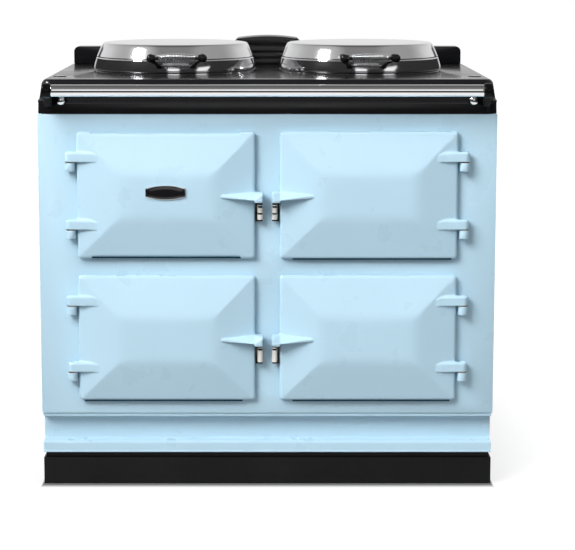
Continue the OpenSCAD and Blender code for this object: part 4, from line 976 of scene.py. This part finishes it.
def stage_floor():
    """A pale floor: white to the camera but for the shadow, with painted shade near the part and a
    painted contact shadow along the plinth; dark far away in reflections.
    """
    mesh = bpy.data.meshes.new("floor")
    mesh.from_pydata([(x * FLOOR_HALF, y * FLOOR_HALF, 0)
                      for x, y in ((-1, -1), (1, -1), (1, 1), (-1, 1))], [], [(0, 1, 2, 3)])
    obj = bpy.data.objects.new("floor", mesh)
    bpy.context.scene.collection.objects.link(obj)
    g = Graph("stage_floor", Roughness=0.9, Specular_IOR_Level=0.0)
    g.shader.inputs["Base Color"].default_value = (FLOOR, FLOOR, FLOOR, 1)
    path = g.add("LightPath")
    spot = g.add("TexCoord").outputs["Object"]
    split = g.add("SeparateXYZ", Vector=spot)
    aside = g.math("SUBTRACT", g.math("ABSOLUTE", split.outputs["X"]), cad_box[1][0])
    ahead = g.math("SUBTRACT", g.math("ABSOLUTE", split.outputs["Y"]), cad_box[1][1])
    beyond = g.math("MAXIMUM", aside, ahead)
    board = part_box("plinth_boards")
    off_side = g.math("SUBTRACT", g.math("ABSOLUTE", split.outputs["X"]), board[1][0])
    off_front = g.math("SUBTRACT", g.math("ABSOLUTE", split.outputs["Y"]), -board[0][1])
    off_side = g.math("MULTIPLY", off_side, PAINTED_CONTACT_SIDE)
    # Painted contact shadow: the floor's glow falls to nothing along the plinth, and is lower near
    # the part.
    painted_contact = g.spread(g.math("MAXIMUM", off_side, off_front), *PAINTED_CONTACT_RUN)
    lift = g.add("Emission", Color=(1, 1, 1, 1))
    g.put(lift.inputs["Strength"],
          g.math("MULTIPLY", painted_contact, g.spread(beyond, 0.0, LIFT_RUN, *FLOOR_LIFT)))
    lit = g.add("AddShader")
    g.links.new(g.shader.outputs[0], lit.inputs[0])
    g.links.new(lift.outputs[0], lit.inputs[1])
    seen = g.shaders(path.outputs["Is Camera Ray"], g.shader.outputs[0], lit.outputs[0])
    away = g.add("VectorMath", {"operation": "DISTANCE"})
    g.links.new(spot, away.inputs[0])
    away.inputs[1].default_value = BRIGHT_ABOUT
    mirror = g.add("Emission", Color=(1, 1, 1, 1))
    g.put(mirror.inputs["Strength"],
          g.spread(away.outputs["Value"], *BRIGHT_TO, 1.0, DARK_LEVEL))
    g.put(g.nodes["Material Output"].inputs["Surface"],
          g.shaders(path.outputs["Is Glossy Ray"], seen, mirror.outputs[0]))
    mesh.materials.append(g.mat)


def studio_world():
    """Even light for surfaces, white for the camera, and a plain studio in reflections."""
    world = bpy.data.worlds.new("studio")
    bpy.context.scene.world = world
    world.use_nodes = True
    g = Net(world.node_tree)
    g.nodes.clear()
    x, y, z = g.add("SeparateXYZ", Vector=g.add("TexCoord").outputs["Generated"]).outputs
    wide = g.math("ABSOLUTE", x)
    # Soft boxes above: dim ahead and overhead, brighter at the left and the right
    above = g.spread(z, 0.85, 0.91, 0.24, 0.12)
    above = g.spread(wide, 0.3, 0.5, above, g.spread(x, -0.3, 0.3, 0.45, 0.35))
    above = g.spread(y, 0.0, 0.45, above, g.spread(z, 0.25, 0.9, 0.8, 0.2))
    # A dark room below them, but for the wall behind
    tilted = g.math("ADD", z, g.math("MULTIPLY", y, 0.265))
    open_up = g.math("MAXIMUM", g.spread(tilted, 0.385, 0.405), g.spread(y, 0.88, 0.95))
    room = g.spread(open_up, 0.0, 1.0, 0.03, above)
    # A white card straight ahead, and a window beside it
    low = g.spread(z, 0.01, 0.03)
    card = g.math("MULTIPLY", g.spread(z, 0.49, 0.47), g.spread(wide, 0.15, 0.12))
    card = g.math("MULTIPLY", card, g.spread(y, -0.5, -0.6))
    aside = g.math("ABSOLUTE", g.math("SUBTRACT", x, 0.64))
    window = g.math("MULTIPLY", g.spread(z, 0.42, 0.4), g.spread(aside, 0.12, 0.09))
    window = g.math("MULTIPLY", window, g.spread(y, 0.0, -0.1))
    room = g.math("MAXIMUM", room, g.math("MULTIPLY", low, g.math("MAXIMUM", card, window)))
    path = g.add("LightPath")
    even = g.add("Background", Color=(1, 1, 1, 1), Strength=AMBIENT)
    mirrored = g.add("Background", Strength=1.0)
    g.put(mirrored.inputs["Color"], room)
    white = g.add("Background", Color=(1, 1, 1, 1), Strength=1.0)
    shown = g.shaders(path.outputs["Is Glossy Ray"], even.outputs[0], mirrored.outputs[0])
    seen = g.math("MAXIMUM", path.outputs["Is Camera Ray"], path.outputs["Is Transmission Ray"])
    out = g.nodes.new("ShaderNodeOutputWorld")
    g.put(out.inputs[0], g.shaders(seen, shown, white.outputs[0]))


def lamp(name, place, axis, energy, **settings):
    """An area lamp at a place; the axis points from what it lights to the lamp."""
    light = bpy.data.lights.new(name, "AREA")
    light.energy = energy
    for key, value in settings.items():
        setattr(light, key, value)
    obj = bpy.data.objects.new(name, light)
    bpy.context.scene.collection.objects.link(obj)
    obj.location = place
    obj.rotation_euler = axis.to_track_quat("Z", "Y").to_euler()
    return obj


def lights():
    """A large soft box high at the left, turned a little past the object, and its bright core."""
    place = KEY_AIM + KEY_AWAY * KEY_DIR
    axis = (place - KEY_AXIS).normalized()
    # How much more the narrowed lamp sends towards the object than an open one
    half = KEY_SPREAD / 2
    gain = (math.tan(half) - math.tan(axis.angle(KEY_DIR))) / (math.tan(half) - half)
    key = lamp("key", place, axis, 4 * math.pi * KEY_LEVEL * KEY_AWAY ** 2 / gain,
               shape="DISK", size=KEY_SIZE, spread=KEY_SPREAD)
    key.visible_glossy = False
    core = lamp("key_core", GLINT_AIM + KEY_AWAY * GLINT_DIR, GLINT_DIR,
                4 * math.pi * GLINT_LEVEL * KEY_AWAY ** 2,
                shape="RECTANGLE", size=GLINT_SIZE[0], size_y=GLINT_SIZE[1])
    core.visible_diffuse = False


def camera():
    """A long lens, a little above the part and pitched down."""
    cam = bpy.data.cameras.new("camera")
    obj = bpy.data.objects.new("camera", cam)
    bpy.context.scene.collection.objects.link(obj)
    cam.sensor_width = 36.0
    cam.lens = CAMERA_LENS
    cam.shift_x, cam.shift_y = CAMERA_SHIFT
    obj.location = CAMERA_PLACE
    obj.rotation_euler = (math.radians(90 - CAMERA_PITCH), 0, 0)
    cam.clip_start, cam.clip_end = 0.1, 60
    bpy.context.scene.camera = obj


stage_floor()
studio_world()
lights()
camera()
bpy.context.scene.view_settings.view_transform = "Standard"
